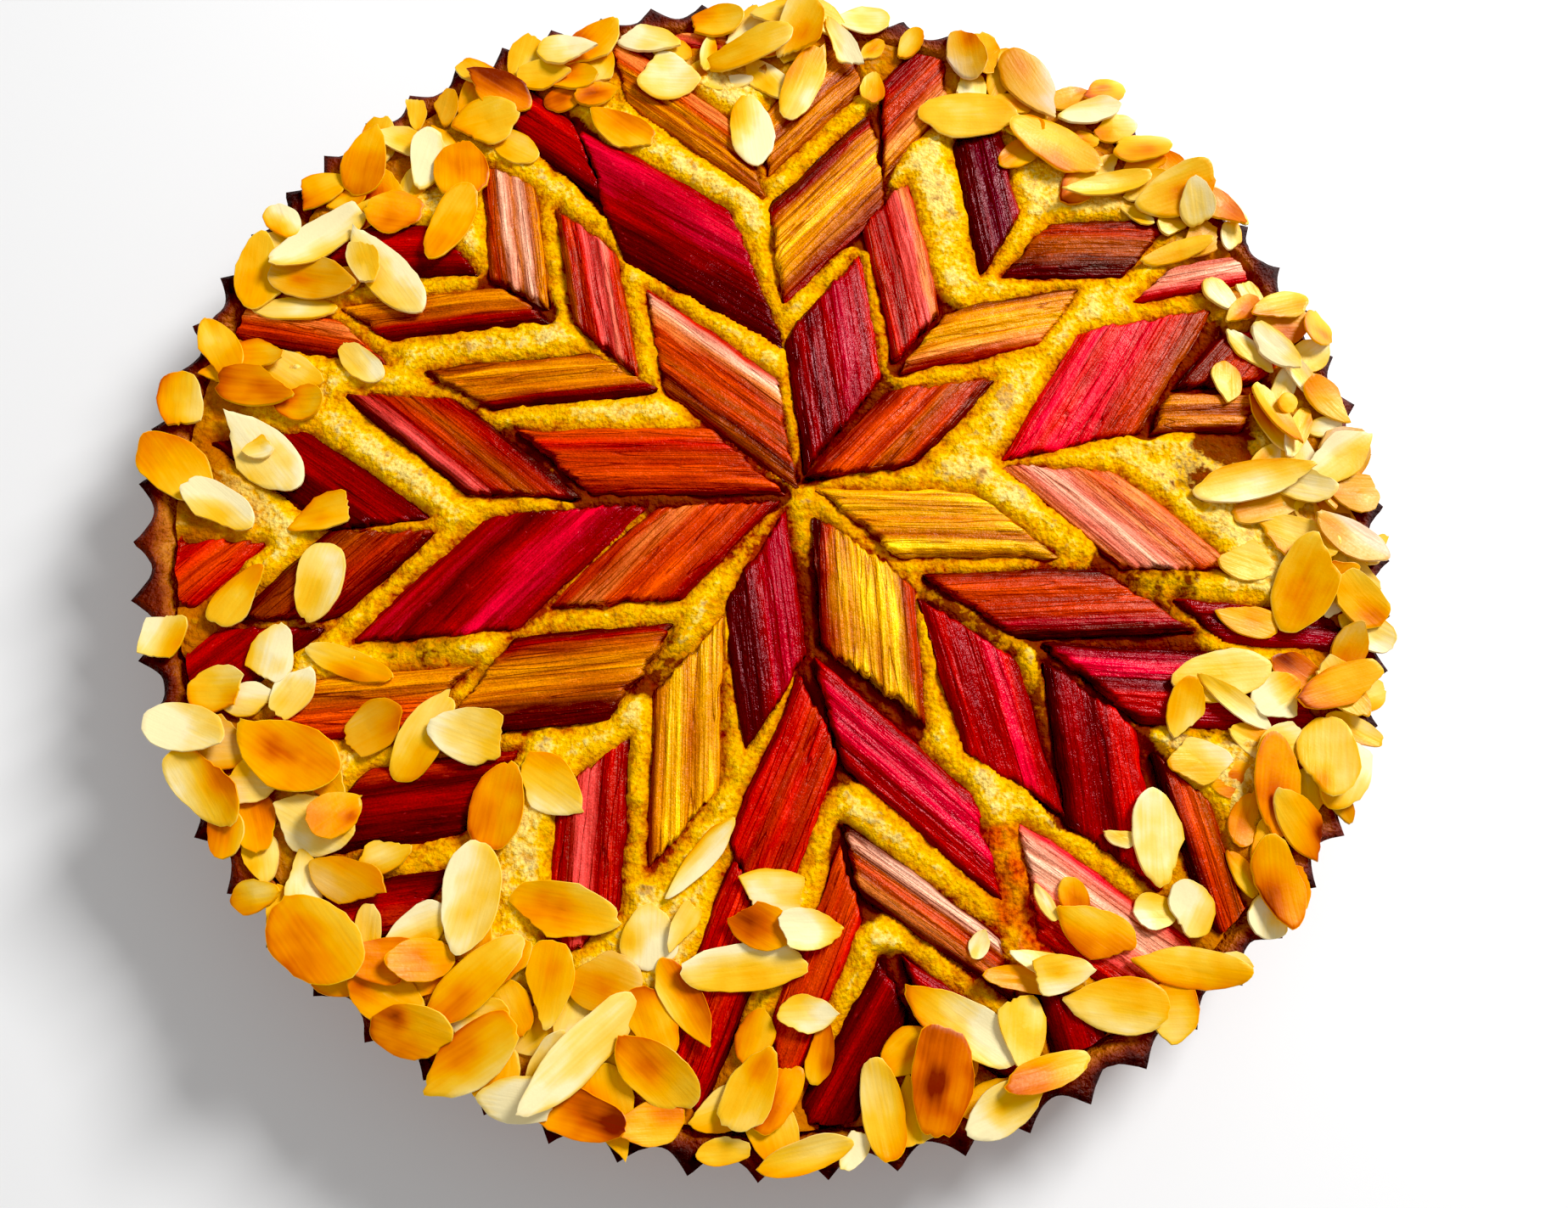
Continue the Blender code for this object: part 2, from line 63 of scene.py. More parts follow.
# Pastry case
FLUTES = 66
COLUMNS_PER_FLUTE = 12
TIP_RADIUS = 0.140
BASE_RADIUS = 0.131
CASE_HEIGHT = 0.0285
FLUTE_DEPTH = 0.0042
RIM_WAVE = 0.0005
FLOOR_THICKNESS = 0.0045
INNER_RIM_RADIUS = 0.1316
INNER_RIM_HEIGHT = 0.0257
INNER_BASE_RADIUS = 0.1255
RIM_BEVEL = 0.0008
# The share of the wall's height above which the golden pastry darkens.
BELT = 9 / 14

# Frangipane
GAP = 0.0003
FILL_HEIGHT = 0.0258
FILL_CELLS = 305
SWELL = 0.0019

# Rhubarb
STICK_TOP = 0.0280
STICK_TOP_SPREAD = 0.0010
STICK_THICKNESS = 0.0095
STICK_BOW = 0.0005
STAR_MARGIN = 0.0020
STICK_GROWTH = 0.0004
STICK_CELL_ALONG = 0.9 * MM
STICK_CELL_ACROSS = 0.32 * MM
STICK_CELLS_LEAST = 14
STICK_LEAN = 0.35
# Height and length in millimetres of the waves of a torn end and of a rough side.
TORN_END = ((0.75, 2.6), (0.55, 0.7))
ROUGH_SIDE = ((0.50, 9.0), (0.22, 2.3))
# Across a stick, from one side to the other: how far its top lies below its highest line.
STICK_PROFILE = (
    (0.00, 0.0018),
    (0.07, 0.0006),
    (0.28, 0.0001),
    (0.42, 0.0007),
    (0.62, 0.0000),
    (0.93, 0.0006),
    (1.00, 0.0018),
)

# Almond flakes
FLAKE_SIDES = 8
FLAKE_THICKNESS = 0.0010
FLAKE_DOME = 0.0005
FLAKE_LIFT = 0.00035
FLAKE_HEIGHT_LIMIT = 0.0355
FLAKE_TILT = 0.09
PEG_CLEAR = 0.0021
PEG_PLACES = (0, 0.25, -0.25, 0.5, -0.5, 0.75, -0.75)
BORDER_INNER = 0.112
BORDER_OUTER = 0.1352
BORDER_TRIES = 1500
BORDER_SPACING = 0.011
BORDER_LENGTHS = (14, 20)
BORDER_PROPORTIONS = (0.50, 0.62)
BORDER_OVERLAP = 0.002
FLAKE_LIMIT = 116
FILL_IN_TRIES = 2500
FILL_IN_INNER = 0.113
FILL_IN_OUTER = 0.137
FILL_IN_SPACING = 0.0060
FILL_IN_LENGTHS = (9, 17)
FILL_IN_PROPORTIONS = (0.45, 0.72)
FLAKE_GROWTH = 1.05
BARE_FROM = 168
BARE_TO = 203
MAP_REACH = 0.144
STEEPEST_LEAN = 0.34
RESTING_SHARE = 0.96
RESTING_GAP = 0.1 * MM
# How a flake cups along its length, curls across it and twists, as shares of half its length, and
# how thick it is as a share of the full thickness.
FLAKE_CUPS = (-0.05, 0.14)
FLAKE_CURLS = (-0.03, 0.09)
FLAKE_TWISTS = (-0.08, 0.08)
FLAKE_THINS = (0.6, 0.95)
# How far a snapped end turns from the flake's length, how much of the flake is left, and how likely
# a snap is for a broad flake and for a sliver.
SNAP_SWING = 1.2
SNAP_KEEPS = (0.55, 0.92)
SNAP_CHANCE = 0.55
SLIVER_SNAP_CHANCE = 0.1
SLIVER_PROPORTION = 0.45

# Linear colours of the rhubarb, from its darkest skin to its palest cut face.
PAINTS = {
    "maroon": (0.085, 0.000, 0.000),
    "plum": (0.130, 0.000, 0.012),
    "crimson": (0.300, 0.000, 0.001),
    "wine": (0.380, 0.001, 0.014),
    "red": (0.560, 0.006, 0.003),
    "raspberry": (0.900, 0.003, 0.040),
    "rose": (0.800, 0.070, 0.075),
    "pink": (0.940, 0.220, 0.170),
    # Shell also serves as a painted highlight of gloss in some bands.
    "shell": (1.000, 0.520, 0.420),
    "peach": (0.860, 0.240, 0.055),
    "orange": (0.680, 0.062, 0.002),
    "rust": (0.470, 0.026, 0.000),
    "toffee": (0.340, 0.055, 0.000),
    "bronze": (0.520, 0.130, 0.000),
    "gold": (0.720, 0.250, 0.002),
    "yellow": (0.970, 0.520, 0.010),
}

# Linear colours of the filling from beside the rhubarb outwards, and of the pastry and the almonds
# from pale to burnt, each at its place from 0 to 1.
CRUMB_RAMP = (
    (0.00, (0.300, 0.028, 0.000)),
    (0.12, (0.560, 0.150, 0.000)),
    (0.30, (0.730, 0.290, 0.000)),
    (0.50, (0.860, 0.420, 0.002)),
    (0.74, (0.950, 0.540, 0.014)),
    (1.00, (0.980, 0.710, 0.190)),
)
PASTRY_RAMP = (
    (0.00, (0.760, 0.360, 0.060)),
    (0.25, (0.600, 0.200, 0.012)),
    (0.48, (0.400, 0.085, 0.003)),
    (0.70, (0.170, 0.014, 0.000)),
    (0.90, (0.060, 0.003, 0.000)),
    (1.00, (0.025, 0.001, 0.000)),
)
ALMOND_RAMP = (
    (0.00, (0.950, 0.820, 0.440)),
    (0.14, (0.940, 0.670, 0.150)),
    (0.32, (0.910, 0.520, 0.022)),
    (0.50, (0.890, 0.380, 0.002)),
    (0.66, (0.830, 0.235, 0.000)),
    (0.82, (0.600, 0.100, 0.000)),
    (1.00, (0.200, 0.012, 0.000)),
)

# The star, arm by arm, anticlockwise from the far side, in millimetres. Each piece has its inner
# corner, the end of its side along the fibres, the end of its cut side, whether its skin or its cut
# face is up, and its colours from the first side across to the other.
STAR = {
    "a": (
        # Its shell band near the far side is a painted highlight of gloss.
        ((3, 3), (-27, 26), (-2, 30), "cut", "toffee maroon orange toffee orange rust peach shell red"),
        (
            (0, 39),
            (-37, 61),
            (-13, 76),
            "skin",
            "maroon maroon maroon crimson wine wine raspberry crimson",
        ),
        ((-34, 30), (-40, 62), (-48, 43), "cut", "rust red pink rose crimson rose red rust crimson toffee"),
        ((-43, 78), (-64, 94), (-52, 101), "skin", "maroon crimson crimson red maroon"),
        # The shell bands across this piece are painted highlights of gloss.
        ((-55, 48), (-60, 80), (-68, 55), "cut", "gold toffee shell bronze shell toffee orange toffee"),
        ((-4, 80), (-38, 107), (-9, 100), "cut", "gold toffee gold toffee gold orange peach peach rust"),
        ((-12, 124), (-38, 128), (-16, 133), "cut", "rose peach shell peach orange"),
    ),
    "b": (
        ((0, 2), (-43, 1), (-17, 16), "cut", "rust orange orange rust orange red orange orange"),
        ((-29, 26), (-66, 21), (-45, 35), "cut", "maroon crimson bronze gold gold gold toffee maroon"),
        ((-46, -1), (-74, 22), (-71, 0), "cut", "maroon crimson rust toffee rust crimson rose maroon"),
        ((-55, 44), (-90, 38), (-67, 52), "cut", "maroon crimson toffee bronze gold gold"),
        ((-90, 31), (-122, 36), (-103, 42), "cut", "maroon rust orange peach rust"),
        ((-78, -6), (-106, 14), (-99, -9), "skin", "maroon crimson maroon maroon"),
        ((-72, 56), (-102, 54), (-84, 68), "skin", "maroon crimson red maroon"),
    ),
    "c": (
        ((-2, -1), (-23, -24), (-29, -3), "cut", "crimson rust orange rust orange peach rust rust"),
        ((-31, -2), (-57, -31), (-66, -6), "skin", "crimson wine raspberry crimson maroon wine crimson"),
        ((-24, -30), (-58, -34), (-38, -51), "cut", "maroon crimson bronze gold gold bronze maroon maroon"),
        ((-77, -10), (-95, -29), (-99, -11), "cut", "maroon rust toffee maroon"),
        ((-98, -32), (-115, -48), (-119, -33), "skin", "maroon crimson crimson red"),
        ((-112, -13), (-125, -27), (-130, -13), "cut", "red orange red rust"),
        ((-66, -40), (-97, -43), (-80, -54), "cut", "gold bronze orange rust"),
        ((-56, -58), (-86, -62), (-66, -75), "skin", "rust maroon crimson maroon maroon"),
        ((-66, -82), (-90, -85), (-78, -95), "skin", "maroon crimson rust maroon"),
    ),
    "d": (
        ((0, -3), (4, -36), (-13, -25), "skin", "crimson wine wine crimson maroon maroon maroon"),
        ((-14, -28), (-14, -64), (-28, -46), "cut", "gold yellow yellow gold yellow yellow gold toffee"),
        ((3, -41), (-12, -76), (11, -59), "cut", "crimson red rust red rust red"),
        ((-33, -55), (-34, -90), (-47, -66), "cut", "crimson red crimson rose crimson red"),
        ((-11, -80), (-24, -113), (-5, -97), "cut", "crimson red rust red maroon"),
        ((11, -78), (-4, -112), (14, -92), "cut", "orange rust orange red"),
    ),
    "e": (
        ((7, -4), (8, -34), (28, -21), "cut", "maroon rust yellow yellow yellow yellow yellow toffee rust"),
        ((6, -38), (38, -66), (12, -61), "skin", "red crimson raspberry wine raspberry crimson red maroon"),
        ((30, -24), (38, -57), (50, -38), "skin", "crimson red crimson red raspberry red crimson"),
        ((57, -38), (59, -72), (75, -53), "skin", "maroon crimson crimson maroon red red red"),
        ((49, -73), (82, -97), (51, -96), "cut", "raspberry pink shell shell pink pink rose red red"),
        ((11, -73), (42, -95), (15, -87), "cut", "maroon shell toffee orange toffee peach maroon"),
        ((18, -100), (2, -126), (23, -111), "skin", "maroon crimson maroon maroon"),
        ((23, -100), (46, -116), (27, -112), "skin", "crimson red maroon"),
        ((79, -58), (86, -92), (90, -70), "cut", "maroon rust orange toffee rust"),
        ((49, -105), (54, -127), (62, -110), "skin", "maroon crimson maroon"),
    ),
    "f": (
        ((8, 2), (43, 2), (26, -13), "cut", "yellow yellow yellow yellow gold yellow bronze yellow yellow"),
        ((31, -18), (70, -16), (52, -32), "cut", "maroon rust orange rust rust wine maroon"),
        ((51, 9), (77, -15), (78, 8), "cut", "peach pink shell pink peach orange peach orange"),
        ((57, -34), (100, -36), (77, -51), "skin", "maroon wine raspberry maroon crimson red crimson wine"),
        ((88, -23), (120, -25), (99, -33), "skin", "crimson maroon wine"),
    ),
    "g": (
        ((5, 5), (25, 27), (30, 9), "cut", "maroon rust orange rust toffee rust maroon"),
        ((51, 11), (72, 44), (84, 19), "cut", "red raspberry red raspberry raspberry red rust toffee"),
        ((28, 33), (61, 41), (40, 49), "cut", "rust peach gold yellow gold gold bronze maroon"),
        ((54, 60), (84, 61), (68, 76), "cut", "plum maroon toffee toffee rust maroon"),
        ((87, 54), (120, 61), (97, 63), "cut", "raspberry pink shell pink"),
        ((87, 19), (109, 20), (93, 28), "cut", "toffee gold toffee gold toffee"),
        ((94, 31), (108, 46), (116, 33), "cut", "maroon rust rust"),
    ),
    "h": (
        ((5, 7), (1, 40), (23, 32), "skin", "maroon crimson maroon crimson wine wine crimson red"),
        ((0, 50), (25, 78), (-2, 78), "cut", "crimson toffee gold yellow gold gold crimson maroon"),
        ((27, 36), (21, 72), (38, 50), "cut", "rust red crimson red rose rose peach red"),
        ((49, 60), (44, 98), (59, 78), "skin", "maroon maroon plum maroon wine"),
        ((26, 89), (42, 108), (27, 117), "cut", "gold peach rust rust crimson plum"),
        ((-3, 87), (21, 114), (-5, 104), "cut", "toffee gold toffee gold toffee"),
    ),
}

# Neighbours whose narrow seam is dark: juice stain, deepened by painted shade in the seam.
DARK_SEAMS = (
    "b01 c01, b01 c02, b01 b03, a02 a04, h03 g03, h02 h03, g01 h01, g02 g07, g02 g06, f02 f03, f02 e03, "
    "f02 f04, e03 e04, f04 e04, e02 e05, e05 e06, d01 e01, d03 e02, c03 d02, c08 d04, b04 a05, e01 e02, "
    "d05 d06, e04 e09, d06 e06, e07 e08, c04 c06, g06 g07, h05 h02"
)
SEAM_WIDTH = 0.0050

# Dark patches of the filling: middle and radius in millimetres, and how dark. The first is a
# painted shadow beside the rhubarb; the others are browned in baking.
BROWNED_AND_SHADED = (
    (104, 17, 11, 1.0),
    (96, 7, 9, 0.6),
    (-78, -38, 12, 0.5),
    (85, -18, 14, 0.6),
    (90, -50, 10, 0.5),
)

# Patches of the filling that are red with juice, in the same way.
SOAKED = (
    (43, -76, 6, 1.0),
    (46, -83, 7, 1.0),
    (48, -91, 7, 1.0),
    (51, -98, 6, 1.0),
)

# How far an almond flake is toasted, from 0 to 1, and how dull it is.
SHADES = {
    "cream": (0.03, 0.1),
    "pale": (0.12, 0.1),
    "yellow": (0.26, 0.1),
    "gold": (0.40, 0.1),
    "orange": (0.56, 0.1),
    "brown": (0.76, 0.0),
    "beige": (0.34, 0.7),
    "rosy": (0.14, 0.9),
}
# How often a flake of the border that isn't listed here has each shade.
LOOSE_SHADES = {"cream": 2, "pale": 3, "yellow": 4, "gold": 7, "orange": 5, "beige": 1}

# The larger flakes: middle, turn from +X in degrees, length, width in millimetres, and shade.
FLAKES = (
    (-28, 114, 0, 16, 15, "cream"),
    (-7, 100, 97, 21, 11, "cream"),
    (-38, 97, -38, 20, 10, "orange"),
    (-53, 118, 5, 14, 10, "cream"),
    (-70, 106, -25, 16, 10, "brown"),
    (-72, 97, 20, 16, 12, "gold"),
    (-85, 85, 75, 15, 8, "cream"),
    (-77, 83, 95, 17, 12, "orange"),
    (-91, 70, 0, 13, 11, "orange"),
    (-78, 68, 65, 22, 9, "gold"),
    (-92, 54, -55, 25, 11, "pale"),
    (-108, 51, -10, 19, 11, "beige"),
    (-108, 62, 40, 24, 10, "cream"),
    (-117, 23, -5, 19, 9, "orange"),
    (-115, 8, -50, 24, 12, "cream"),
    (-96, 31, -50, 13, 7, "cream"),
    (-122, -5, -40, 16, 9, "cream"),
    (-100, -6, 15, 17, 8, "gold"),
    (-99, -22, 75, 17, 10, "cream"),
    (-107, -38, 80, 13, 9, "cream"),
    (-91, -40, -20, 19, 6, "gold"),
    (-101, -59, -35, 22, 13, "orange"),
    (-86, -54, 30, 14, 10, "beige"),
    (-75, -55, 65, 19, 9, "yellow"),
    (-65, -55, -20, 17, 11, "pale"),
    (-49, -65, -35, 17, 11, "gold"),
    (-59, -69, 80, 17, 10, "orange"),
    (-95, -73, -30, 17, 12, "pale"),
    (-63, -87, 78, 21, 11, "cream"),
    (-87, -84, -30, 15, 9, "beige"),
    (-91, -95, -50, 20, 14, "gold"),
    (-61, -103, 42, 22, 9, "gold"),
    (-45, -90, -10, 22, 11, "gold"),
    (-47, -104, 82, 17, 9, "gold"),
    (-41, -117, 42, 27, 9, "cream"),
    (-72, -112, -20, 15, 10, "orange"),
    (-28, -95, 90, 12, 11, "cream"),
    (-21, -107, -58, 18, 7, "orange"),
    (-26, -120, -45, 19, 10, "gold"),
    (-8, -123, 62, 16, 9, "gold"),
    (-8, -101, 5, 25, 9, "pale"),
    (-3, -87, 0, 18, 9, "cream"),
    (3, -110, 0, 11, 7, "pale"),
    (33, -112, -35, 24, 10, "yellow"),
    (28, -123, 75, 21, 12, "brown"),
    (17, -127, 100, 18, 8, "gold"),
    (45, -113, 80, 15, 10, "yellow"),
    (49, -121, 12, 18, 6, "orange"),
    (65, -109, -10, 20, 11, "yellow"),
    (80, -102, -10, 22, 8, "gold"),
    (62, -95, -35, 17, 10, "orange"),
    (77, -76, 85, 19, 11, "cream"),
    (82, -91, 60, 11, 10, "pale"),
    (95, -41, 5, 22, 11, "pale"),
    (86, -49, 75, 14, 8, "gold"),
    (107, -46, 30, 12, 10, "cream"),
    (88, -60, 0, 13, 10, "yellow"),
    (103, -66, 78, 22, 10, "orange"),
    (108, -74, -60, 17, 9, "orange"),
    (115, -59, 75, 18, 11, "yellow"),
    (116, -20, 60, 23, 12, "gold"),
    (103, -28, -20, 14, 8, "gold"),
    (105, -14, -20, 13, 10, "yellow"),
    (108, 5, 12, 27, 9, "yellow"),
    (128, -9, -40, 18, 9, "rosy"),
    (120, -44, 15, 20, 9, "orange"),
    (106, 31, 80, 11, 7, "gold"),
    (118, 40, -55, 15, 7, "cream"),
    (116, 22, -65, 17, 6, "gold"),
    (98, 67, 15, 18, 5, "gold"),
    (103, 79, 100, 12, 8, "cream"),
    (82, 85, 12, 23, 6, "gold"),
    (70, 96, -30, 25, 12, "gold"),
    (48, 105, 0, 24, 13, "gold"),
    (65, 114, -60, 22, 12, "rosy"),
    (79, 107, 5, 15, 7, "cream"),
    (91, 96, 0, 15, 10, "gold"),
    (48, 123, 95, 16, 9, "beige"),
    (16, 124, -60, 15, 7, "cream"),
    (6, 113, 68, 24, 9, "gold"),
    (-8, 121, 15, 22, 10, "gold"),
)

# Smaller and broken flakes that lie under the larger ones, and then those on top.
LOWER_FLAKES = (
    (-52, 112, 0, 12, 8, "orange"),
    (-112, 44, 0, 18, 6, "yellow"),
    (-118, 32, 0, 12, 8, "orange"),
    (-108, 20, 0, 10, 8, "orange"),
    (-102, -46, 60, 12, 8, "cream"),
    (-116, -46, 0, 12, 10, "yellow"),
    (-114, -57, 0, 12, 11, "beige"),
    (-108, -64, 0, 12, 10, "pale"),
    (-82, -95, 90, 13, 5, "yellow"),
    (-73, -93, 20, 12, 8, "pale"),
    (-37, -103, -20, 14, 11, "beige"),
    (-77, -106, -30, 16, 9, "gold"),
    (-57, -119, 90, 14, 10, "gold"),
    (-60, -110, 0, 12, 7, "pale"),
    (-27, -129, 0, 13, 8, "gold"),
    (-40, -127, -15, 18, 8, "brown"),
    (-3, -124, 60, 15, 8, "orange"),
    (-13, -134, 0, 10, 5, "yellow"),
    (2, -135, 10, 17, 6, "gold"),
    (39, -126, 10, 14, 7, "gold"),
    (48, -104, -5, 20, 5, "orange"),
    (51, -101, -20, 15, 5, "pale"),
    (75, -110, 0, 12, 12, "gold"),
    (58, -88, 90, 8, 6, "orange"),
    (75, -91, 0, 9, 7, "yellow"),
    (69, -76, -20, 7, 4, "pale"),
    (95, -64, 0, 10, 8, "orange"),
    (100, -80, 90, 14, 9, "gold"),
    (98, -92, 80, 9, 8, "cream"),
    (104, -87, 60, 10, 8, "orange"),
    (123, -21, 40, 14, 10, "yellow"),
    (112, -1, 15, 18, 6, "beige"),
    (132, 2, 0, 12, 10, "beige"),
    (125, -35, 60, 12, 7, "beige"),
    (131, 13, 45, 14, 12, "rosy"),
    (113, 40, -55, 14, 6, "pale"),
    (115, 20, -65, 16, 5, "gold"),
    (120, 30, 60, 16, 5, "pale"),
    (124, 33, -60, 16, 5, "cream"),
    (121, 18, 60, 16, 5, "yellow"),
    (121, 47, 0, 14, 12, "beige"),
    (130, 46, 80, 12, 8, "gold"),
    (113, 82, -45, 14, 6, "cream"),
    (112, 72, 90, 9, 5, "pale"),
    (98, 75, 0, 8, 6, "pale"),
    (84, 115, 20, 14, 8, "orange"),
    (91, 92, 0, 12, 6, "orange"),
    (85, 103, 0, 12, 8, "yellow"),
    (53, 125, 90, 16, 9, "gold"),
    (49, 114, 90, 12, 8, "pale"),
    (22, 134, 0, 14, 11, "cream"),
    (5, 128, 90, 18, 12, "orange"),
    (0, 133, 10, 16, 10, "yellow"),
    (10, 132, -20, 16, 10, "yellow"),
    (-17, 131, 0, 14, 9, "gold"),
    (-18, 122, 85, 12, 4, "yellow"),
    (-13, 113, 10, 12, 4, "pale"),
)
UPPER_FLAKES = (
    (-115, 9, 20, 7, 6, "pale"),
    (-90, -71, 40, 10, 9, "orange"),
    (-71, -99, 0, 12, 8, "orange"),
    (-6, -93, -30, 15, 9, "orange"),
    (3, -94, 0, 14, 8, "pale"),
    (97, -47, -40, 18, 5, "pale"),
    (-97, 56, -70, 11, 7, "yellow"),
    (119, 25, 10, 6, 5, "gold"),
    (-18, -80, 47, 20, 5, "pale"),
    (-21, -93, 60, 11, 5, "pale"),
    (52, -89, -65, 8, 3, "pale"),
    (38, -97, 60, 6, 4, "cream"),
)

# The camera: where it looks on the tart's top, how far off it is, how far it leans from straight
# down, how the tart is turned under it, and how wide it sees.
VIEW_PLANE = 0.028
VIEW_AIM = (0.00531, -0.02505)
VIEW_DISTANCE = 0.25846
VIEW_LEAN = 18.75
VIEW_TURN = -13.0
VIEW_LENS = 27.29
# The level that shows as black, the sky's strength, and half of the floor's side.
BLACK_POINT = 0.012
SKY_STRENGTH = 0.34
FLOOR_HALF = 1.6


def lattice(x, y, seed=0):
    """Smooth random values from -1 to 1 over a plane, on a lattice of unit steps."""
    x, y = np.broadcast_arrays(np.asarray(x, float), np.asarray(y, float))
    low_x, low_y = np.floor(x), np.floor(y)
    part_x, part_y = x - low_x, y - low_y
    part_x = part_x * part_x * (3 - 2 * part_x)
    part_y = part_y * part_y * (3 - 2 * part_y)

    def value(step_x, step_y):
        key = (low_x + step_x) * 127.1 + (low_y + step_y) * 311.7 + seed * 74.7
        spun = np.sin(key) * 43758.5453
        return 2 * (spun - np.floor(spun)) - 1

    near = value(0, 0) * (1 - part_x) + value(1, 0) * part_x
    far = value(0, 1) * (1 - part_x) + value(1, 1) * part_x
    return near * (1 - part_y) + far * part_y


def soft_step(low, high, value):
    part = np.clip((value - low) / (high - low), 0, 1)
    return part * part * (3 - 2 * part)


def wall_radius(height):
    """The inner radius of the pastry case at a height."""
    slope = (INNER_RIM_RADIUS - INNER_BASE_RADIUS) / (INNER_RIM_HEIGHT - FLOOR_THICKNESS)
    return INNER_BASE_RADIUS + slope * (height - FLOOR_THICKNESS)


def sides(outline):
    """The sides of a convex outline: where each starts, the side, and a direction that faces out."""
    middle = sum(outline, Vector((0, 0))) / len(outline)
    for start, end in zip(outline, outline[1:] + outline[:1]):
        side = end - start
        outward = Vector((side.y, -side.x))
        if outward.dot(middle - start) > 0:
            outward.negate()
        yield start, side, outward


def outside(outline, x, y):
    """How far each spot is outside a convex outline, less than zero inside it."""
    nearest = np.full(np.shape(x), 1.0)
    within = np.full(np.shape(x), True)
    for start, side, outward in sides(outline):
        dx, dy = x - start.x, y - start.y
        along = np.clip((dx * side.x + dy * side.y) / side.length_squared, 0, 1)
        nearest = np.minimum(nearest, np.hypot(dx - along * side.x, dy - along * side.y))
        within &= dx * outward.x + dy * outward.y <= 0
    return np.where(within, -nearest, nearest)


def space_between(first, second):
    """How far apart two convex outlines are, or less than zero where they overlap."""
    widest = -1.0
    for outline, other in ((first, second), (second, first)):
        for start, _, outward in sides(outline):
            outward.normalize()
            widest = max(widest, min(outward.dot(point - start) for point in other))
    return widest


# Mesh building


def mesh_object(name, points, faces, marks=None, sharpest=60):
    """A smooth-shaded mesh with named numbers on its points."""
    data = bpy.data.meshes.new(name)
    data.from_pydata([tuple(p) for p in points.tolist()], [], faces)
    for mark, values in (marks or {}).items():
        kept = data.attributes.new(mark, "FLOAT", "POINT")
        kept.data.foreach_set("value", np.asarray(values, np.float32).ravel())
    data.shade_smooth()
    data.set_sharp_from_angle(angle=math.radians(sharpest))
    thing = bpy.data.objects.new(name, data)
    bpy.context.scene.collection.objects.link(thing)
    return thing


def sheet_solid(name, top, foot, marks):
    """A closed body: a grid of points for its top, and the ring of points that its sides run down to."""
    rows, columns = top.shape[:2]
    index = np.arange(rows * columns).reshape(rows, columns)
    quads = np.stack([index[:-1, :-1], index[1:, :-1], index[1:, 1:], index[:-1, 1:]], -1)
    faces = quads.reshape(-1, 4).tolist()
    ring = np.concatenate([index[:-1, 0], index[-1, :-1], index[:0:-1, -1], index[0, :0:-1]])
    low = np.arange(len(ring)) + rows * columns
    points = np.concatenate([top.reshape(-1, 3), foot(top.reshape(-1, 3)[ring])])
    following = np.roll(ring, -1)
    low_following = np.roll(low, -1)
    faces += np.stack([ring, low, low_following, following], -1).tolist()
    faces.append(low[::-1].tolist())
    flat = {}
    for mark, values in marks.items():
        values = np.asarray(values, float).ravel()
        flat[mark] = np.concatenate([values, values[ring]])
    corner = top[:2, :2].reshape(4, 3)
    upward = np.cross(corner[2] - corner[0], corner[1] - corner[0])[2]
    if upward < 0:
        faces = [face[::-1] for face in faces]
    return mesh_object(name, points, faces, flat)


def place(thing, slot, *nodes):
    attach(thing, "root")
    if nodes:
        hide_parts(*nodes)


# Materials


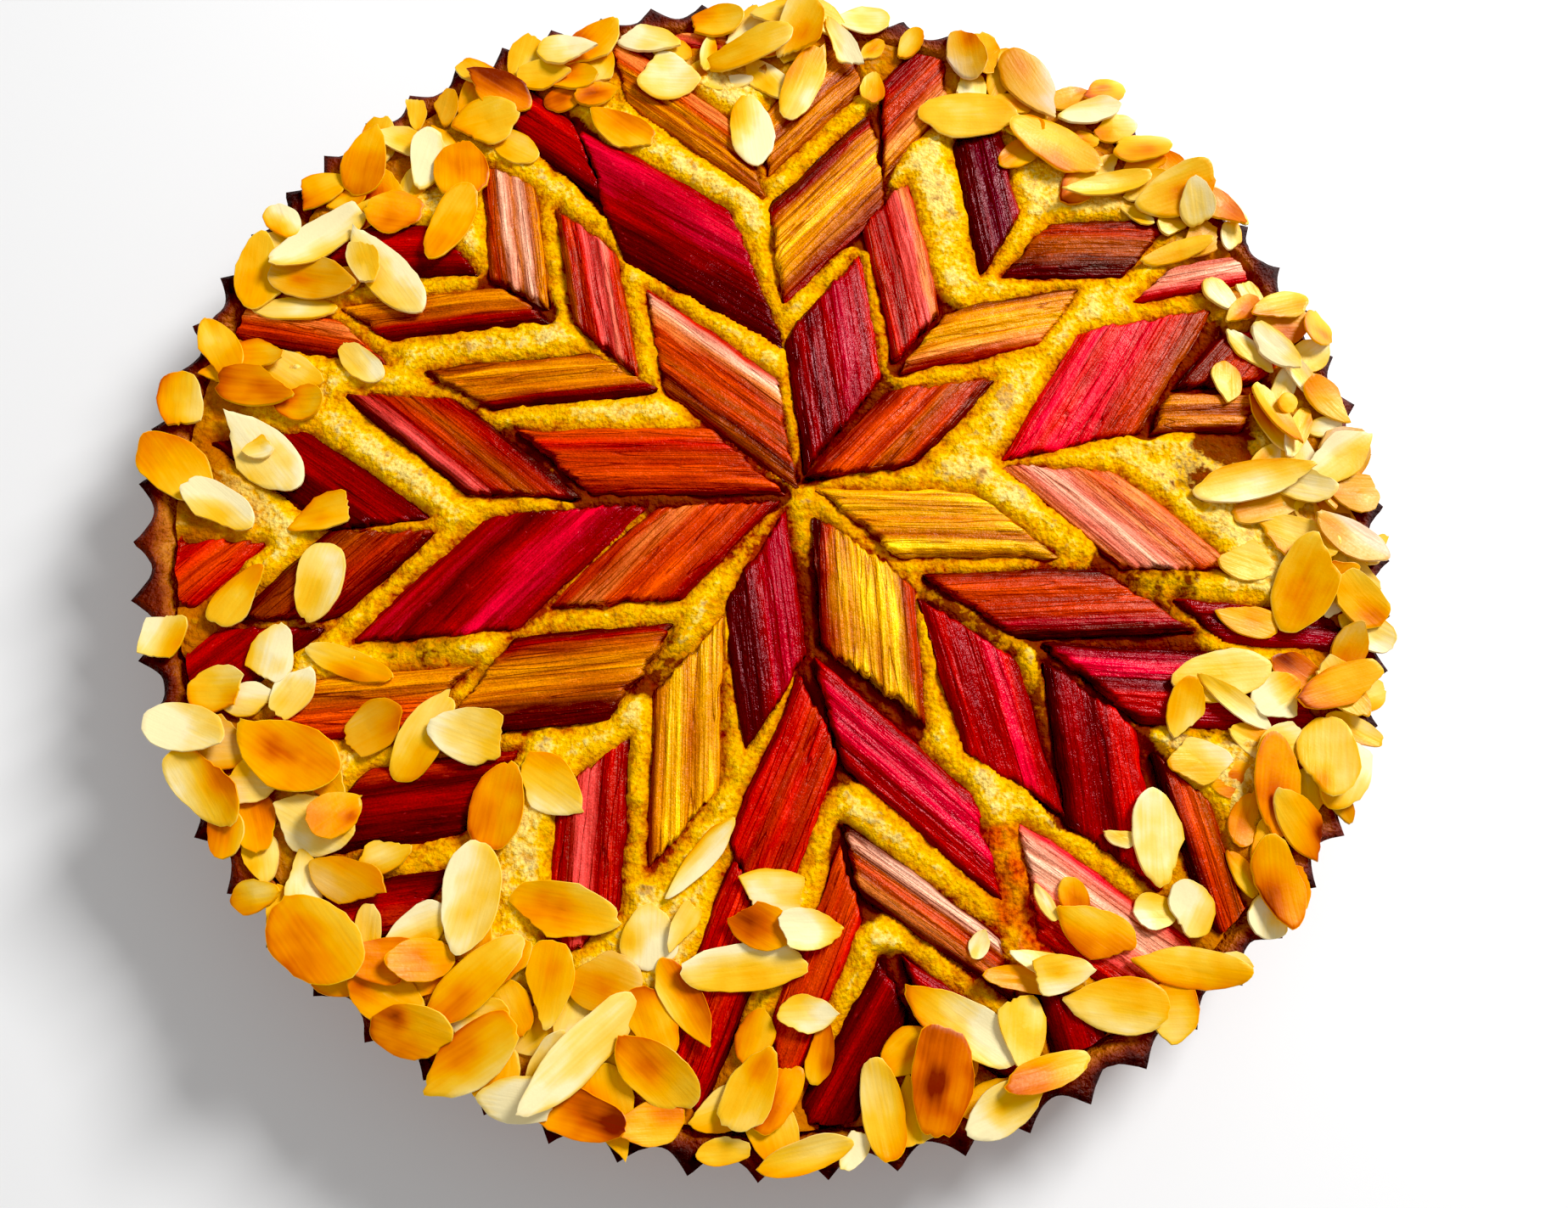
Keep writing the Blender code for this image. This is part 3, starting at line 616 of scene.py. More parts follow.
class Shader:
    """A material under construction, with short calls for the kinds of node it needs."""

    def __init__(self, name):
        self.material = bpy.data.materials.new(name)
        self.material.use_nodes = True
        self.tree = self.material.node_tree
        self.surface = self.tree.nodes["Principled BSDF"]

    def node(self, kind, inputs=None, **settings):
        made = self.tree.nodes.new(kind)
        for key, value in settings.items():
            setattr(made, key, value)
        for key, value in (inputs or {}).items():
            self.plug(made.inputs[key], value)
        return made

    def plug(self, socket, value):
        if isinstance(value, bpy.types.NodeSocket):
            self.tree.links.new(value, socket)
        else:
            socket.default_value = value

    def math(self, operation, first, second=0.0):
        made = self.node("ShaderNodeMath", {0: first, 1: second}, operation=operation)
        return made.outputs[0]

    def add(self, first, second):
        return self.math("ADD", first, second)

    def stray(self, value, noise, reach, low=0.3, high=0.7):
        """A value that noise moves up and down by as much as the reach."""
        return self.add(value, self.range(noise, low, high, -reach, reach))

    def line(self, noise, half_width, fade, strength):
        """Thin lines, where noise passes through its middle."""
        off = self.math("ABSOLUTE", self.math("SUBTRACT", noise, 0.5))
        return self.range(off, half_width, fade, strength, 0.0)

    def mark(self, name):
        return self.node("ShaderNodeAttribute", attribute_name=name).outputs["Fac"]

    def place(self, scale):
        spot = self.node("ShaderNodeTexCoord").outputs["Object"]
        made = self.node("ShaderNodeVectorMath", {0: spot, 1: scale}, operation="MULTIPLY")
        return made.outputs[0]

    def noise(self, scale, detail=2.0, shift=0.0):
        """Noise over the object, with its number of waves in a metre, for each axis or for all."""
        scale = scale if isinstance(scale, tuple) else (scale, scale, scale)
        spot = self.node("ShaderNodeVectorMath", {0: self.place(scale), 1: (shift, shift, shift)})
        made = self.node("ShaderNodeTexNoise", {"Vector": spot.outputs[0], "Scale": 1.0, "Detail": detail})
        return made.outputs["Fac"]

    def range(self, value, low, high, new_low=0.0, new_high=1.0):
        made = self.node(
            "ShaderNodeMapRange",
            {"Value": value, "From Min": low, "From Max": high, "To Min": new_low, "To Max": new_high},
        )
        return made.outputs["Result"]

    def ramp(self, value, stops):
        made = self.node("ShaderNodeValToRGB", {"Fac": value})
        marks = made.color_ramp.elements
        while len(marks) < len(stops):
            marks.new(0.5)
        for mark, (position, colour) in zip(marks, stops):
            mark.position = position
            mark.color = (*colour, 1)
        return made.outputs["Color"]

    def mix(self, share, first, second, blend="MIX"):
        made = self.node("ShaderNodeMix", data_type="RGBA", blend_type=blend)
        for key, value in ((0, share), (6, first), (7, second)):
            colour = isinstance(value, tuple) and len(value) == 3
            self.plug(made.inputs[key], (*value, 1) if colour else value)
        return made.outputs[2]

    def pile(self, height, *layers):
        """A height with more layers on it, each of them a value and how thick it lies."""
        for value, thick in layers:
            height = self.add(height, self.math("MULTIPLY", value, thick))
        return height

    def times(self, colour, factor):
        return self.mix(1.0, colour, factor, "MULTIPLY")

    def bump(self, height, depth, strength):
        made = self.node("ShaderNodeBump", {"Height": height, "Distance": depth, "Strength": strength})
        self.plug(self.surface.inputs["Normal"], made.outputs["Normal"])

    def finish(self, colour, roughness, **constants):
        self.plug(self.surface.inputs["Base Color"], colour)
        self.plug(self.surface.inputs["Roughness"], roughness)
        for key, value in constants.items():
            self.surface.inputs[key.replace("_", " ")].default_value = value
        return self.material


def rhubarb_material(name, bands, width, skin, shift):
    """Bands of colour across the stick, drawn out along its fibres, with dark edges and cut ends, painted
    shade and light on its ridges, and painted glints.
    """
    shade = Shader(name)
    across = shade.node("ShaderNodeSeparateXYZ", {0: shade.place((1, 1, 1))}).outputs["Y"]
    share = shade.range(across, 0.0, width)
    waves = shade.noise((20, 240, 240), 2.0, shift)
    strands = shade.noise((26, 640, 640), 2.0, shift + 9)
    fibres = shade.noise((42, 1500, 1500), 2.0, shift + 5)
    cracks = shade.noise((14, 420, 420), 1.0, shift + 17)
    threads = shade.noise((18, 560, 560), 1.0, shift + 23)
    blotches = shade.noise((70, 130, 130), 2.0, shift + 3)
    grain = shade.noise((2300, 3400, 3400), 1.0, shift)
    drawn = shade.stray(share, waves, 0.09, 0.2, 0.8)
    drawn = shade.stray(drawn, blotches, 0.07, 0.2, 0.8)
    steps = len(bands) - 1
    colour = shade.ramp(drawn, [(n / steps, PAINTS[band]) for n, band in enumerate(bands)])
    if skin:
        tones = ((0.66, 0.52, 0.52), (1.34, 1.5, 1.5)), ((0.78, 0.68, 0.68), (1.22, 1.3, 1.3))
    else:
        tones = ((0.70, 0.46, 0.34), (1.36, 1.50, 1.4)), ((0.80, 0.62, 0.52), (1.26, 1.36, 1.3))
    for value, (dark, light) in zip((strands, fibres), tones):
        colour = shade.times(colour, shade.mix(shade.range(value, 0.28, 0.72), dark, light))
    # Painted shade and light: the ridge valleys are drawn darker and the crests lighter.
    ridge_shading = shade.mix(shade.range(shade.mark("ridge"), -0.35, 0.25), (0.72, 0.50, 0.42), (1.12, 1.14, 1.1))
    colour = shade.times(colour, ridge_shading)
    crack = shade.line(cracks, 0.003, 0.015, 0.4 if skin else 0.75)
    colour = shade.mix(crack, colour, shade.times(colour, (0.40, 0.18, 0.14)))
    # Pale threads along the fibres: partly the stick's own pale fibres, partly painted highlight streaks.
    thread_highlight = shade.line(threads, 0.002, 0.011, 0.22 if skin else 0.60)
    pale = shade.mix(1.0, shade.times(colour, (1.5, 1.7, 1.6)), (0.12, 0.022, 0.010), "ADD")
    colour = shade.mix(thread_highlight, colour, pale)
    colour = shade.times(colour, shade.range(grain, 0.3, 0.7, 0.78, 1.22))
    side = shade.stray(shade.mark("side"), blotches, 0.8)
    rind = shade.range(side, 0.0, 0.9, 0.50, 0.0)
    colour = shade.mix(rind, colour, shade.times(colour, (0.42, 0.16, 0.16)))
    end = shade.stray(shade.mark("end"), fibres, 0.5, 0.2, 0.8)
    end = shade.add(end, shade.range(waves, 0.3, 0.7, -0.5, 0.7))
    burnt = shade.range(end, 0.0, 0.8, 0.70, 0.0)
    colour = shade.mix(burnt, colour, (0.060, 0.004, 0.000))
    # Painted highlights: small glinting specks, lightened from the stick's own colour.
    glint_noise = shade.noise((700, 1500, 1500), 2.0, shift + 31)
    wrinkles = shade.noise((300, 520, 520), 2.0, shift + 37)
    painted_glints = shade.math("MULTIPLY", shade.range(glint_noise, 0.60, 0.70, 0.0, 0.45), shade.range(wrinkles, 0.42, 0.62))
    glint = shade.mix(1.0, shade.times(colour, (1.3, 1.4, 1.4)), (0.20, 0.030, 0.030), "ADD")
    colour = shade.mix(painted_glints, colour, glint)
    height = shade.pile(strands, (fibres, 0.7), (crack, -0.35), (grain, 0.20), (wrinkles, 0.8))
    shade.bump(height, 0.0006, 0.9 if skin else 1.0)
    low, high = (0.20, 0.36) if skin else (0.30, 0.48)
    roughness = shade.range(blotches, 0.3, 0.7, low, high)
    return shade.finish(
        colour,
        roughness,
        Specular_IOR_Level=0.25,
        Specular_Tint=(1.0, 0.42, 0.48, 1) if skin else (1.0, 0.72, 0.56, 1),
    )


def frangipane_material():
    """Baked crumb: pale gold where it swells, darker and stained beside the rhubarb; painted shade in seams,
    narrow strips and pits, painted light on crests.
    """
    shade = Shader("baked_frangipane")
    broad = shade.noise(45, 3.0)
    middle = shade.noise(240, 3.0, 5)
    crumb = shade.noise(800, 4.0, 9)
    fine = shade.noise(2600, 2.0, 2)
    grains = shade.node("ShaderNodeTexVoronoi", {"Vector": shade.place((1, 1, 1)), "Scale": 980.0})
    grain = shade.range(grains.outputs["Distance"], 0.10, 0.85, 1.0, 0.0)
    off = shade.stray(shade.mark("off"), middle, 1.0, 0.2, 0.8)
    off = shade.stray(off, broad, 0.8)
    off = shade.stray(off, crumb, 1.2, 0.25, 0.75)
    colour = shade.ramp(shade.range(off, -1.2, 4.8), CRUMB_RAMP)
    toasted = shade.range(broad, 0.46, 0.68, 0.0, 0.45)
    colour = shade.mix(toasted, colour, shade.times(colour, (0.98, 0.78, 0.10)))
    pit = shade.pile(crumb, (grain, 0.26))
    # Painted shade in the crumb's pits and painted light on its crests, drawn from the same heights as the
    # bump.
    pit_shade = shade.range(pit, 0.42, 0.60, 0.60, 0.0)
    colour = shade.mix(pit_shade, colour, shade.times(colour, (0.84, 0.57, 0.06)))
    crest = shade.range(pit, 0.66, 0.84, 0.0, 0.55)
    colour = shade.mix(crest, colour, shade.times(colour, (1.08, 1.20, 1.5)))
    colour = shade.times(colour, shade.range(fine, 0.3, 0.7, 0.90, 1.10))
    rim = shade.stray(shade.mark("rim"), middle, 0.35)
    colour = shade.mix(shade.range(rim, 0.1, 0.9, 0.0, 0.88), colour, (0.430, 0.100, 0.001))
    # Dark stain of juice and browning, with painted shade in the seams and a painted shadow patch.
    juice = shade.stray(shade.mark("juice"), middle, 0.35)
    juice = shade.stray(juice, crumb, 0.25)
    colour = shade.mix(shade.range(juice, 0.25, 0.75, 0.0, 0.95), colour, (0.140, 0.007, 0.000))
    soak = shade.stray(shade.mark("soak"), middle, 0.3)
    red = shade.mix(shade.range(crumb, 0.38, 0.58), (0.360, 0.004, 0.000), (0.760, 0.090, 0.004))
    colour = shade.mix(shade.range(soak, 0.2, 0.95, 0.0, 0.94), colour, red)
    shade.bump(shade.pile(crumb, (grain, 0.35), (middle, 0.4), (fine, 0.25)), 0.0008, 0.7)
    return shade.finish(colour, 0.75, Specular_IOR_Level=0.05, Specular_Tint=(1.0, 0.75, 0.35, 1))


def pastry_material():
    """Short pastry: dark and caramelised at the rim's outer edge, golden brown inside and down the wall."""
    shade = Shader("baked_pastry")
    broad = shade.noise(60, 3.0)
    middle = shade.noise((300, 300, 220), 3.0, 4)
    fine = shade.noise(1300, 2.0, 8)
    char = shade.stray(shade.mark("char"), broad, 0.16)
    char = shade.stray(char, middle, 0.12)
    colour = shade.ramp(char, PASTRY_RAMP)
    flecks = shade.range(fine, 0.34, 0.52, 0.5, 0.0)
    colour = shade.mix(flecks, colour, shade.times(colour, (0.55, 0.40, 0.30)))
    shade.bump(shade.add(fine, middle), 0.0009, 0.8)
    return shade.finish(colour, shade.range(middle, 0.3, 0.7, 0.5, 0.75), Specular_IOR_Level=0.25)


def almond_material():
    """Flaked almond: cream to deep toast, with fine grain along each flake."""
    shade = Shader("toasted_almond")
    broad = shade.noise(170, 1.0)
    fine = shade.noise(1500, 2.0, 6)
    spot = shade.node("ShaderNodeCombineXYZ", {"X": shade.mark("grain"), "Y": shade.mark("width")})
    long = shade.node("ShaderNodeVectorMath", {0: spot.outputs[0], 1: (90, 1100, 1)}, operation="MULTIPLY")
    lines = shade.node("ShaderNodeTexNoise", {"Vector": long.outputs[0], "Scale": 1.0, "Detail": 2.0})
    lines = lines.outputs["Fac"]
    # The toast mark also carries a painted glow: each flake's edge wall is drawn paler.
    toast = shade.stray(shade.mark("toast"), broad, 0.07)
    toast = shade.stray(toast, lines, 0.035)
    colour = shade.ramp(toast, ALMOND_RAMP)
    colour = shade.mix(shade.mark("dull"), colour, shade.times(colour, (0.72, 0.56, 0.70)))
    shade.bump(shade.pile(lines, (fine, 0.4)), 0.0003, 0.3)
    return shade.finish(
        colour,
        shade.range(fine, 0.3, 0.7, 0.34, 0.46),
        Specular_IOR_Level=0.28,
        Specular_Tint=(1.0, 0.86, 0.55, 1),
    )


# The star


class Stick:
    """One rhubarb piece: its diamond, its top, and its own axes along and across the fibres."""

    def __init__(self, name, row, top):
        corner, along, across, face, bands = row
        self.name = name
        self.top = top
        self.skin = face == "skin"
        self.bands = bands.split()
        self.start = Vector(corner) * MM
        fibre = Vector(along) * MM - self.start
        cut = Vector(across) * MM - self.start
        self.outline = [self.start, self.start + fibre, self.start + fibre + cut, self.start + cut]
        self.length = fibre.length
        self.axis = fibre.normalized()
        normal = Vector((-self.axis.y, self.axis.x))
        self.side = 1 if normal.dot(cut) > 0 else -1
        self.width = abs(normal.dot(cut))
        self.shear = self.axis.dot(cut)


def star_sticks():
    heights = random.Random(SEED)
    sticks = []
    for arm, rows in STAR.items():
        for number, row in enumerate(rows, 1):
            top = STICK_TOP + STICK_TOP_SPREAD * (heights.random() - 0.5)
            sticks.append(Stick(f"rhubarb_{arm}{number:02d}", row, top))
    return sticks


def ragged(spot, waves, rows, seed):
    """An uneven edge in millimetres, from waves of given height and length."""
    return sum(high * lattice(spot / long, row, seed) for (high, long), row in zip(waves, rows))


def make_stick(stick, number):
    """A ridged stick with rolled sides and ragged cut ends, sunk to its full depth."""
    columns = max(STICK_CELLS_LEAST, round(stick.length / STICK_CELL_ALONG))
    rows = max(STICK_CELLS_LEAST, round(stick.width / STICK_CELL_ACROSS))
    along, across = np.meshgrid(np.linspace(0, 1, columns + 1), np.linspace(0, 1, rows + 1), indexing="ij")
    spread = across * stick.width / MM
    seed = number * 3
    reach = along * stick.length / MM
    begin = ragged(spread, TORN_END, (0, 5), seed)
    finish = ragged(spread, TORN_END, (9, 3), seed)
    near = ragged(reach, ROUGH_SIDE, (11, 13), seed)
    far = ragged(reach, ROUGH_SIDE, (17, 19), seed)
    x = along * stick.length + across * stick.shear + (begin * (1 - along) + finish * along) * MM
    y = across * stick.width + (near * (1 - across) + far * across) * MM
    x = x + (2 * along - 1) * STICK_GROWTH
    y = y + (2 * across - 1) * STICK_GROWTH
    steps, drops = np.array(STICK_PROFILE).T
    drop = (np.interp(across - 0.015, steps, drops) + np.interp(across + 0.015, steps, drops)) / 2
    side = np.minimum(across, 1 - across) * stick.width / MM
    end = np.minimum(along, 1 - along) * stick.length / MM
    wander = lattice(reach / 22, spread / 9, seed + 1)
    depth = 0.25 if stick.skin else 1.0
    ridge = 0.30 * depth * lattice(spread / 2.1 + 0.5 * wander, reach / 60, seed + 2)
    ridge += 0.18 * depth * lattice(spread / 0.85 + wander, reach / 30, seed + 4)
    ridge += 0.08 * lattice(spread / 0.5 + wander, reach / 9, seed + 5)
    ridge += 0.25 * lattice(reach / 11, spread / 7, seed + 6)
    ridge *= soft_step(0, 1.2, side)
    rolled = 0.5 * (1 - soft_step(0, 1.0, end))
    tilt = random.Random(number + 1)
    pitch, roll = tilt.uniform(-STICK_LEAN, STICK_LEAN), tilt.uniform(-STICK_LEAN, STICK_LEAN)
    lean = pitch * (2 * along - 1) + roll * (2 * across - 1)
    z = stick.top - drop + STICK_BOW * (1 - (2 * along - 1) ** 2) + (ridge - rolled + lean) * MM
    facing = stick.side
    origin, axis = stick.start, stick.axis

    def trimmed(points, margin):
        """Draws points that pass the case's wall back along the fibres to it."""
        limit = wall_radius(points[..., 2]) - margin
        world_x = origin.x + axis.x * points[..., 0] - axis.y * points[..., 1]
        world_y = origin.y + axis.y * points[..., 0] + axis.x * points[..., 1]
        over = np.hypot(world_x, world_y) > limit
        inward = world_x * axis.x + world_y * axis.y
        rest = np.maximum(inward**2 - world_x**2 - world_y**2 + limit**2, 0)
        back = np.where(over, inward - np.sqrt(rest), 0)
        points[..., 0] -= back
        return points

    top = trimmed(np.stack([x, y * facing, z], -1), STAR_MARGIN)

    def foot(ring):
        low = ring.copy()
        low[:, 2] = stick.top - STICK_THICKNESS
        return trimmed(low, STAR_MARGIN)

    piece = sheet_solid(stick.name + "_stick", top, foot, {"side": side, "end": end, "ridge": ridge})
    turn = math.atan2(axis.y, axis.x)
    piece.matrix_world = Matrix.Translation((origin.x, origin.y, 0)) @ Matrix.Rotation(turn, 4, "Z")
    width = facing * stick.width
    piece.data.materials.append(
        rhubarb_material(stick.name, stick.bands, width, stick.skin, 3.7 * number)
    )
    return piece


# The filling


def stains(x, y, patches, inner, outer):
    """How strongly each spot is stained, from 0 to 1, by round patches that fade outwards."""
    stain = np.zeros(x.shape)
    for left, top, size, amount in patches:
        away = np.hypot(x - left, y - top) / size
        stain = np.maximum(stain, amount * (1 - soft_step(inner, outer, away)))
    return stain


def make_frangipane(sticks):
    """Crumb that swells between the rhubarb pieces and dips under them."""
    side = np.linspace(-1, 1, FILL_CELLS + 1)
    u, v = np.meshgrid(side, side, indexing="ij")
    radius = wall_radius(FILL_HEIGHT) - 2 * GAP
    x = radius * u * np.sqrt(1 - v * v / 2)
    y = radius * v * np.sqrt(1 - u * u / 2)
    floor = np.full(x.shape, FILL_HEIGHT)
    beyond = {}
    for stick in sticks:
        beyond[stick.name[-3:]] = outside(stick.outline, x, y)
        under = beyond[stick.name[-3:]] < 0
        floor = np.where(under, stick.top - STICK_THICKNESS - GAP, floor)
    ordered = np.sort(np.stack(list(beyond.values())), axis=0)
    across, up = x / MM, y / MM
    uneven = 0.40 * lattice(across / 2.4, up / 2.4, 4) + 0.25 * lattice(across / 1.1, up / 1.1, 5)
    off = ordered[0] / MM + uneven * soft_step(-0.9, -0.2, ordered[0] / MM)
    narrow = 1 - soft_step(0.003, 0.010, np.maximum(ordered[0], 0) + ordered[1])
    # Dark stain: browned patches and juicy seams, with painted shade in the seams and one painted shadow
    # patch.
    juice = stains(across, up, BROWNED_AND_SHADED, 0.35, 1.0)
    for pair in DARK_SEAMS.split(", "):
        first, second = (np.maximum(beyond[name], 0) for name in pair.split())
        juice = np.maximum(juice, 1 - soft_step(SEAM_WIDTH, SEAM_WIDTH + 0.0025, first + second))
    broad = lattice(across / 16, up / 16, 1)
    lumps = lattice(across / 4.2, up / 4.2, 2)
    crumb = lattice(across / 1.7, up / 1.7, 3)
    rise = soft_step(-0.3, 1.0, off) * (0.70 + 0.30 * soft_step(1.0, 3.8, off)) * (1 + 0.4 * broad)
    rise = rise - 0.6 * juice - 0.30 * narrow
    z = FILL_HEIGHT + SWELL * rise + (0.45 * lumps + 0.38 * crumb) * MM * soft_step(-0.5, 1.0, off)
    z = np.where(off < -1.6, floor, z)

    def foot(ring):
        low = ring * ((INNER_BASE_RADIUS - GAP) / np.hypot(ring[:, 0], ring[:, 1]))[:, None]
        low[:, 2] = FLOOR_THICKNESS + GAP
        return low

    marks = {
        # Painted shade: narrow strips between the rhubarb pieces are drawn darker.
        "off": np.clip(off, -2, 4) + 0.9 * broad + 0.9 * lumps - 0.8 * narrow,
        "juice": juice,
        "soak": stains(across, up, SOAKED, 0.0, 1.5),
        "rim": soft_step(0.108, 0.128, np.hypot(x, y)),
    }
    filling = sheet_solid("frangipane_crumb", np.stack([x, y, z], -1), foot, marks)
    filling.data.materials.append(frangipane_material())
    place(filling, "frangipane", "frangipane")


# The case


def make_case():
    """The fluted case, with a crisp uneven rim."""
    # Radius, height, share of the flutes' depth, and how dark the pastry is baked.
    heel = (BASE_RADIUS, 0.0, 0.6, 0.25)
    shoulder = (TIP_RADIUS, CASE_HEIGHT - RIM_BEVEL, 1.0, 0.90)
    belt = [a + BELT * (b - a) for a, b in zip(heel, shoulder)]
    belt[3] = 0.40
    crest = (TIP_RADIUS - 0.0022, CASE_HEIGHT, 0.75, 0.76)
    lip = (INNER_RIM_RADIUS + 0.0018, CASE_HEIGHT - 0.0006, 0.1, 0.42)
    mouth = (INNER_RIM_RADIUS, INNER_RIM_HEIGHT, 0.0, 0.34)
    toe = (INNER_BASE_RADIUS, FLOOR_THICKNESS, 0.0, 0.20)
    underside = (BASE_RADIUS * 0.02, 0.0, 0.0, 0.15)
    outer_base = (BASE_RADIUS * 0.98, 0.0, 0.55, 0.2)
    floor = (INNER_BASE_RADIUS * 0.02, FLOOR_THICKNESS, 0.0, 0.15)
    stops = (underside, outer_base, heel, belt, shoulder, crest, lip, mouth, toe, floor)
    outline = []
    for first, last, steps in zip(stops, stops[1:], (6, 2, 9, 5, 3, 6, 3, 4, 3)):
        outline += [[a + (b - a) * (step / steps) for a, b in zip(first, last)] for step in range(steps)]
    outline.append(floor)
    profile = np.array(outline)
    columns = FLUTES * COLUMNS_PER_FLUTE
    turns = np.arange(columns) * math.tau / columns
    radius, height, share, char = (profile[:, k][:, None] + 0 * turns for k in range(4))
    turn = turns + 0 * radius
    flute = np.abs(np.sin(FLUTES * turn / 2))
    rim = soft_step(CASE_HEIGHT * 0.6, CASE_HEIGHT, height)
    around = turn * TIP_RADIUS / MM
    rough = lattice(around / 4, height / MM / 4, 21) + 0.5 * lattice(around / 1.6, height / MM / 1.8, 22)
    crisp = rim * lattice(around / 3.1, 7, 23)
    edge = soft_step(BASE_RADIUS * 0.97, BASE_RADIUS, radius) * (height > 0)
    radius = radius - FLUTE_DEPTH * share * flute - (0.18 * rough + 0.45 * np.abs(crisp)) * MM * edge
    top = height > CASE_HEIGHT / 2
    height = height + top * RIM_WAVE * np.sin(7 * turn) * np.cos(3 * turn + 1)
    height = height + rim * 0.35 * MM * (crisp + 0.5 * rough)
    char = char + 0.12 * (1 - flute) * edge
    points = np.stack([radius * np.cos(turn), radius * np.sin(turn), height], -1)
    rows = len(profile)
    index = np.arange(rows * columns).reshape(rows, columns)
    after = np.roll(index, -1, axis=1)
    faces = np.stack([index[:-1], after[:-1], after[1:], index[1:]], -1).reshape(-1, 4).tolist()
    faces.append(index[0][::-1].tolist())
    faces.append(index[-1].tolist())
    case = mesh_object("pastry_case", points.reshape(-1, 3), faces, {"char": char}, 50)
    case.data.materials.append(pastry_material())
    place(case, "pastry", "crust")


# The almonds


def disc(middle, radius):
    ring = [math.tau * step / FLAKE_SIDES for step in range(FLAKE_SIDES)]
    return [middle + radius * Vector((math.cos(turn), math.sin(turn))) for turn in ring]


class Flake:
    """One almond flake: its outline from above, the height it lies at, and what carries it."""

    def __init__(self, x, y, turn, length, width, rise=0.0, shade=None):
        self.middle = Vector((x, y)) * MM
        self.turn = math.radians(turn)
        self.half_length = length * MM / 2
        self.half_width = width * MM / 2
        self.rise = rise
        self.shade = shade
        steps = (math.tau * k / FLAKE_SIDES for k in range(FLAKE_SIDES))
        self.outline = [self.at(math.cos(step), math.sin(step)) for step in steps]
        self.high = 0.0
        self.carrier = None

    def at(self, along, across):
        offset = Vector((along * self.half_length, across * self.half_width))
        offset.rotate(Matrix.Rotation(self.turn, 2))
        return self.middle + offset


def carrier_at(spot, sticks):
    """The one node under a spot, if a flake can stand there."""
    radius = spot.length
    if radius > INNER_RIM_RADIUS + PEG_CLEAR:
        return "crust" if radius < TIP_RADIUS - FLUTE_DEPTH - GAP else None
    if radius > INNER_RIM_RADIUS - STAR_MARGIN - PEG_CLEAR:
        return None
    near = disc(spot, PEG_CLEAR)
    for stick in sticks:
        if space_between(stick.outline, near) < GAP:
            whole = all(outside(stick.outline, point.x, point.y) <= 0 for point in near)
            return stick.name if whole else None
    return "frangipane"


def settle(flake, sticks, laid):
    """Tells whether a flake can lie where it is, on what is under it."""
    below = [FILL_HEIGHT]
    below += [s.top + STICK_BOW for s in sticks if space_between(s.outline, flake.outline) < GAP]
    below += [other.high for other in laid if space_between(other.outline, flake.outline) < GAP]
    reach = max(point.length for point in flake.outline)
    if reach > TIP_RADIUS - GAP:
        return False
    if reach > INNER_RIM_RADIUS - GAP:
        below.append(CASE_HEIGHT + RIM_WAVE)
    flake.high = max(below) + FLAKE_LIFT + flake.rise + FLAKE_THICKNESS + FLAKE_DOME
    if flake.high > FLAKE_HEIGHT_LIMIT:
        return False
    for along in PEG_PLACES:
        spot = flake.at(along, 0)
        carrier = carrier_at(spot, sticks)
        if carrier is None:
            continue
        near = disc(spot, PEG_CLEAR)
        blocked = any(
            other.carrier != carrier and space_between(other.outline, near) < GAP
            for other in laid
        )
        if not blocked:
            flake.carrier = carrier
            return True
    return False


def clear(flake, sticks):
    """Tells whether a flake leaves the rhubarb in view."""
    return all(space_between(s.outline, flake.outline) > -BORDER_OVERLAP for s in sticks)


def lay_flakes(sticks):
    """The larger flakes, and the ones that fill the border between them."""
    draw = random.Random(SEED)
    laid = []
    for x, y, turn, length, width, shade in FLAKES:
        rise = length * MM * FLAKE_TILT * draw.random()
        flake = Flake(x, y, turn, length, width, rise, shade)
        if settle(flake, sticks, laid):
            laid.append(flake)
    for _ in range(BORDER_TRIES):
        if len(laid) >= FLAKE_LIMIT:
            break
        turn = draw.uniform(0, math.tau)
        reach = math.sqrt(draw.uniform(BORDER_INNER**2, BORDER_OUTER**2)) / MM
        length = draw.uniform(*BORDER_LENGTHS)
        flake = Flake(
            reach * math.cos(turn),
            reach * math.sin(turn),
            draw.uniform(0, 180),
            length,
            length * draw.uniform(*BORDER_PROPORTIONS),
            length * MM * FLAKE_TILT * draw.random(),
        )
        nearest = min((other.middle - flake.middle).length for other in laid)
        if clear(flake, sticks) and nearest > BORDER_SPACING and settle(flake, sticks, laid):
            laid.append(flake)
    return laid


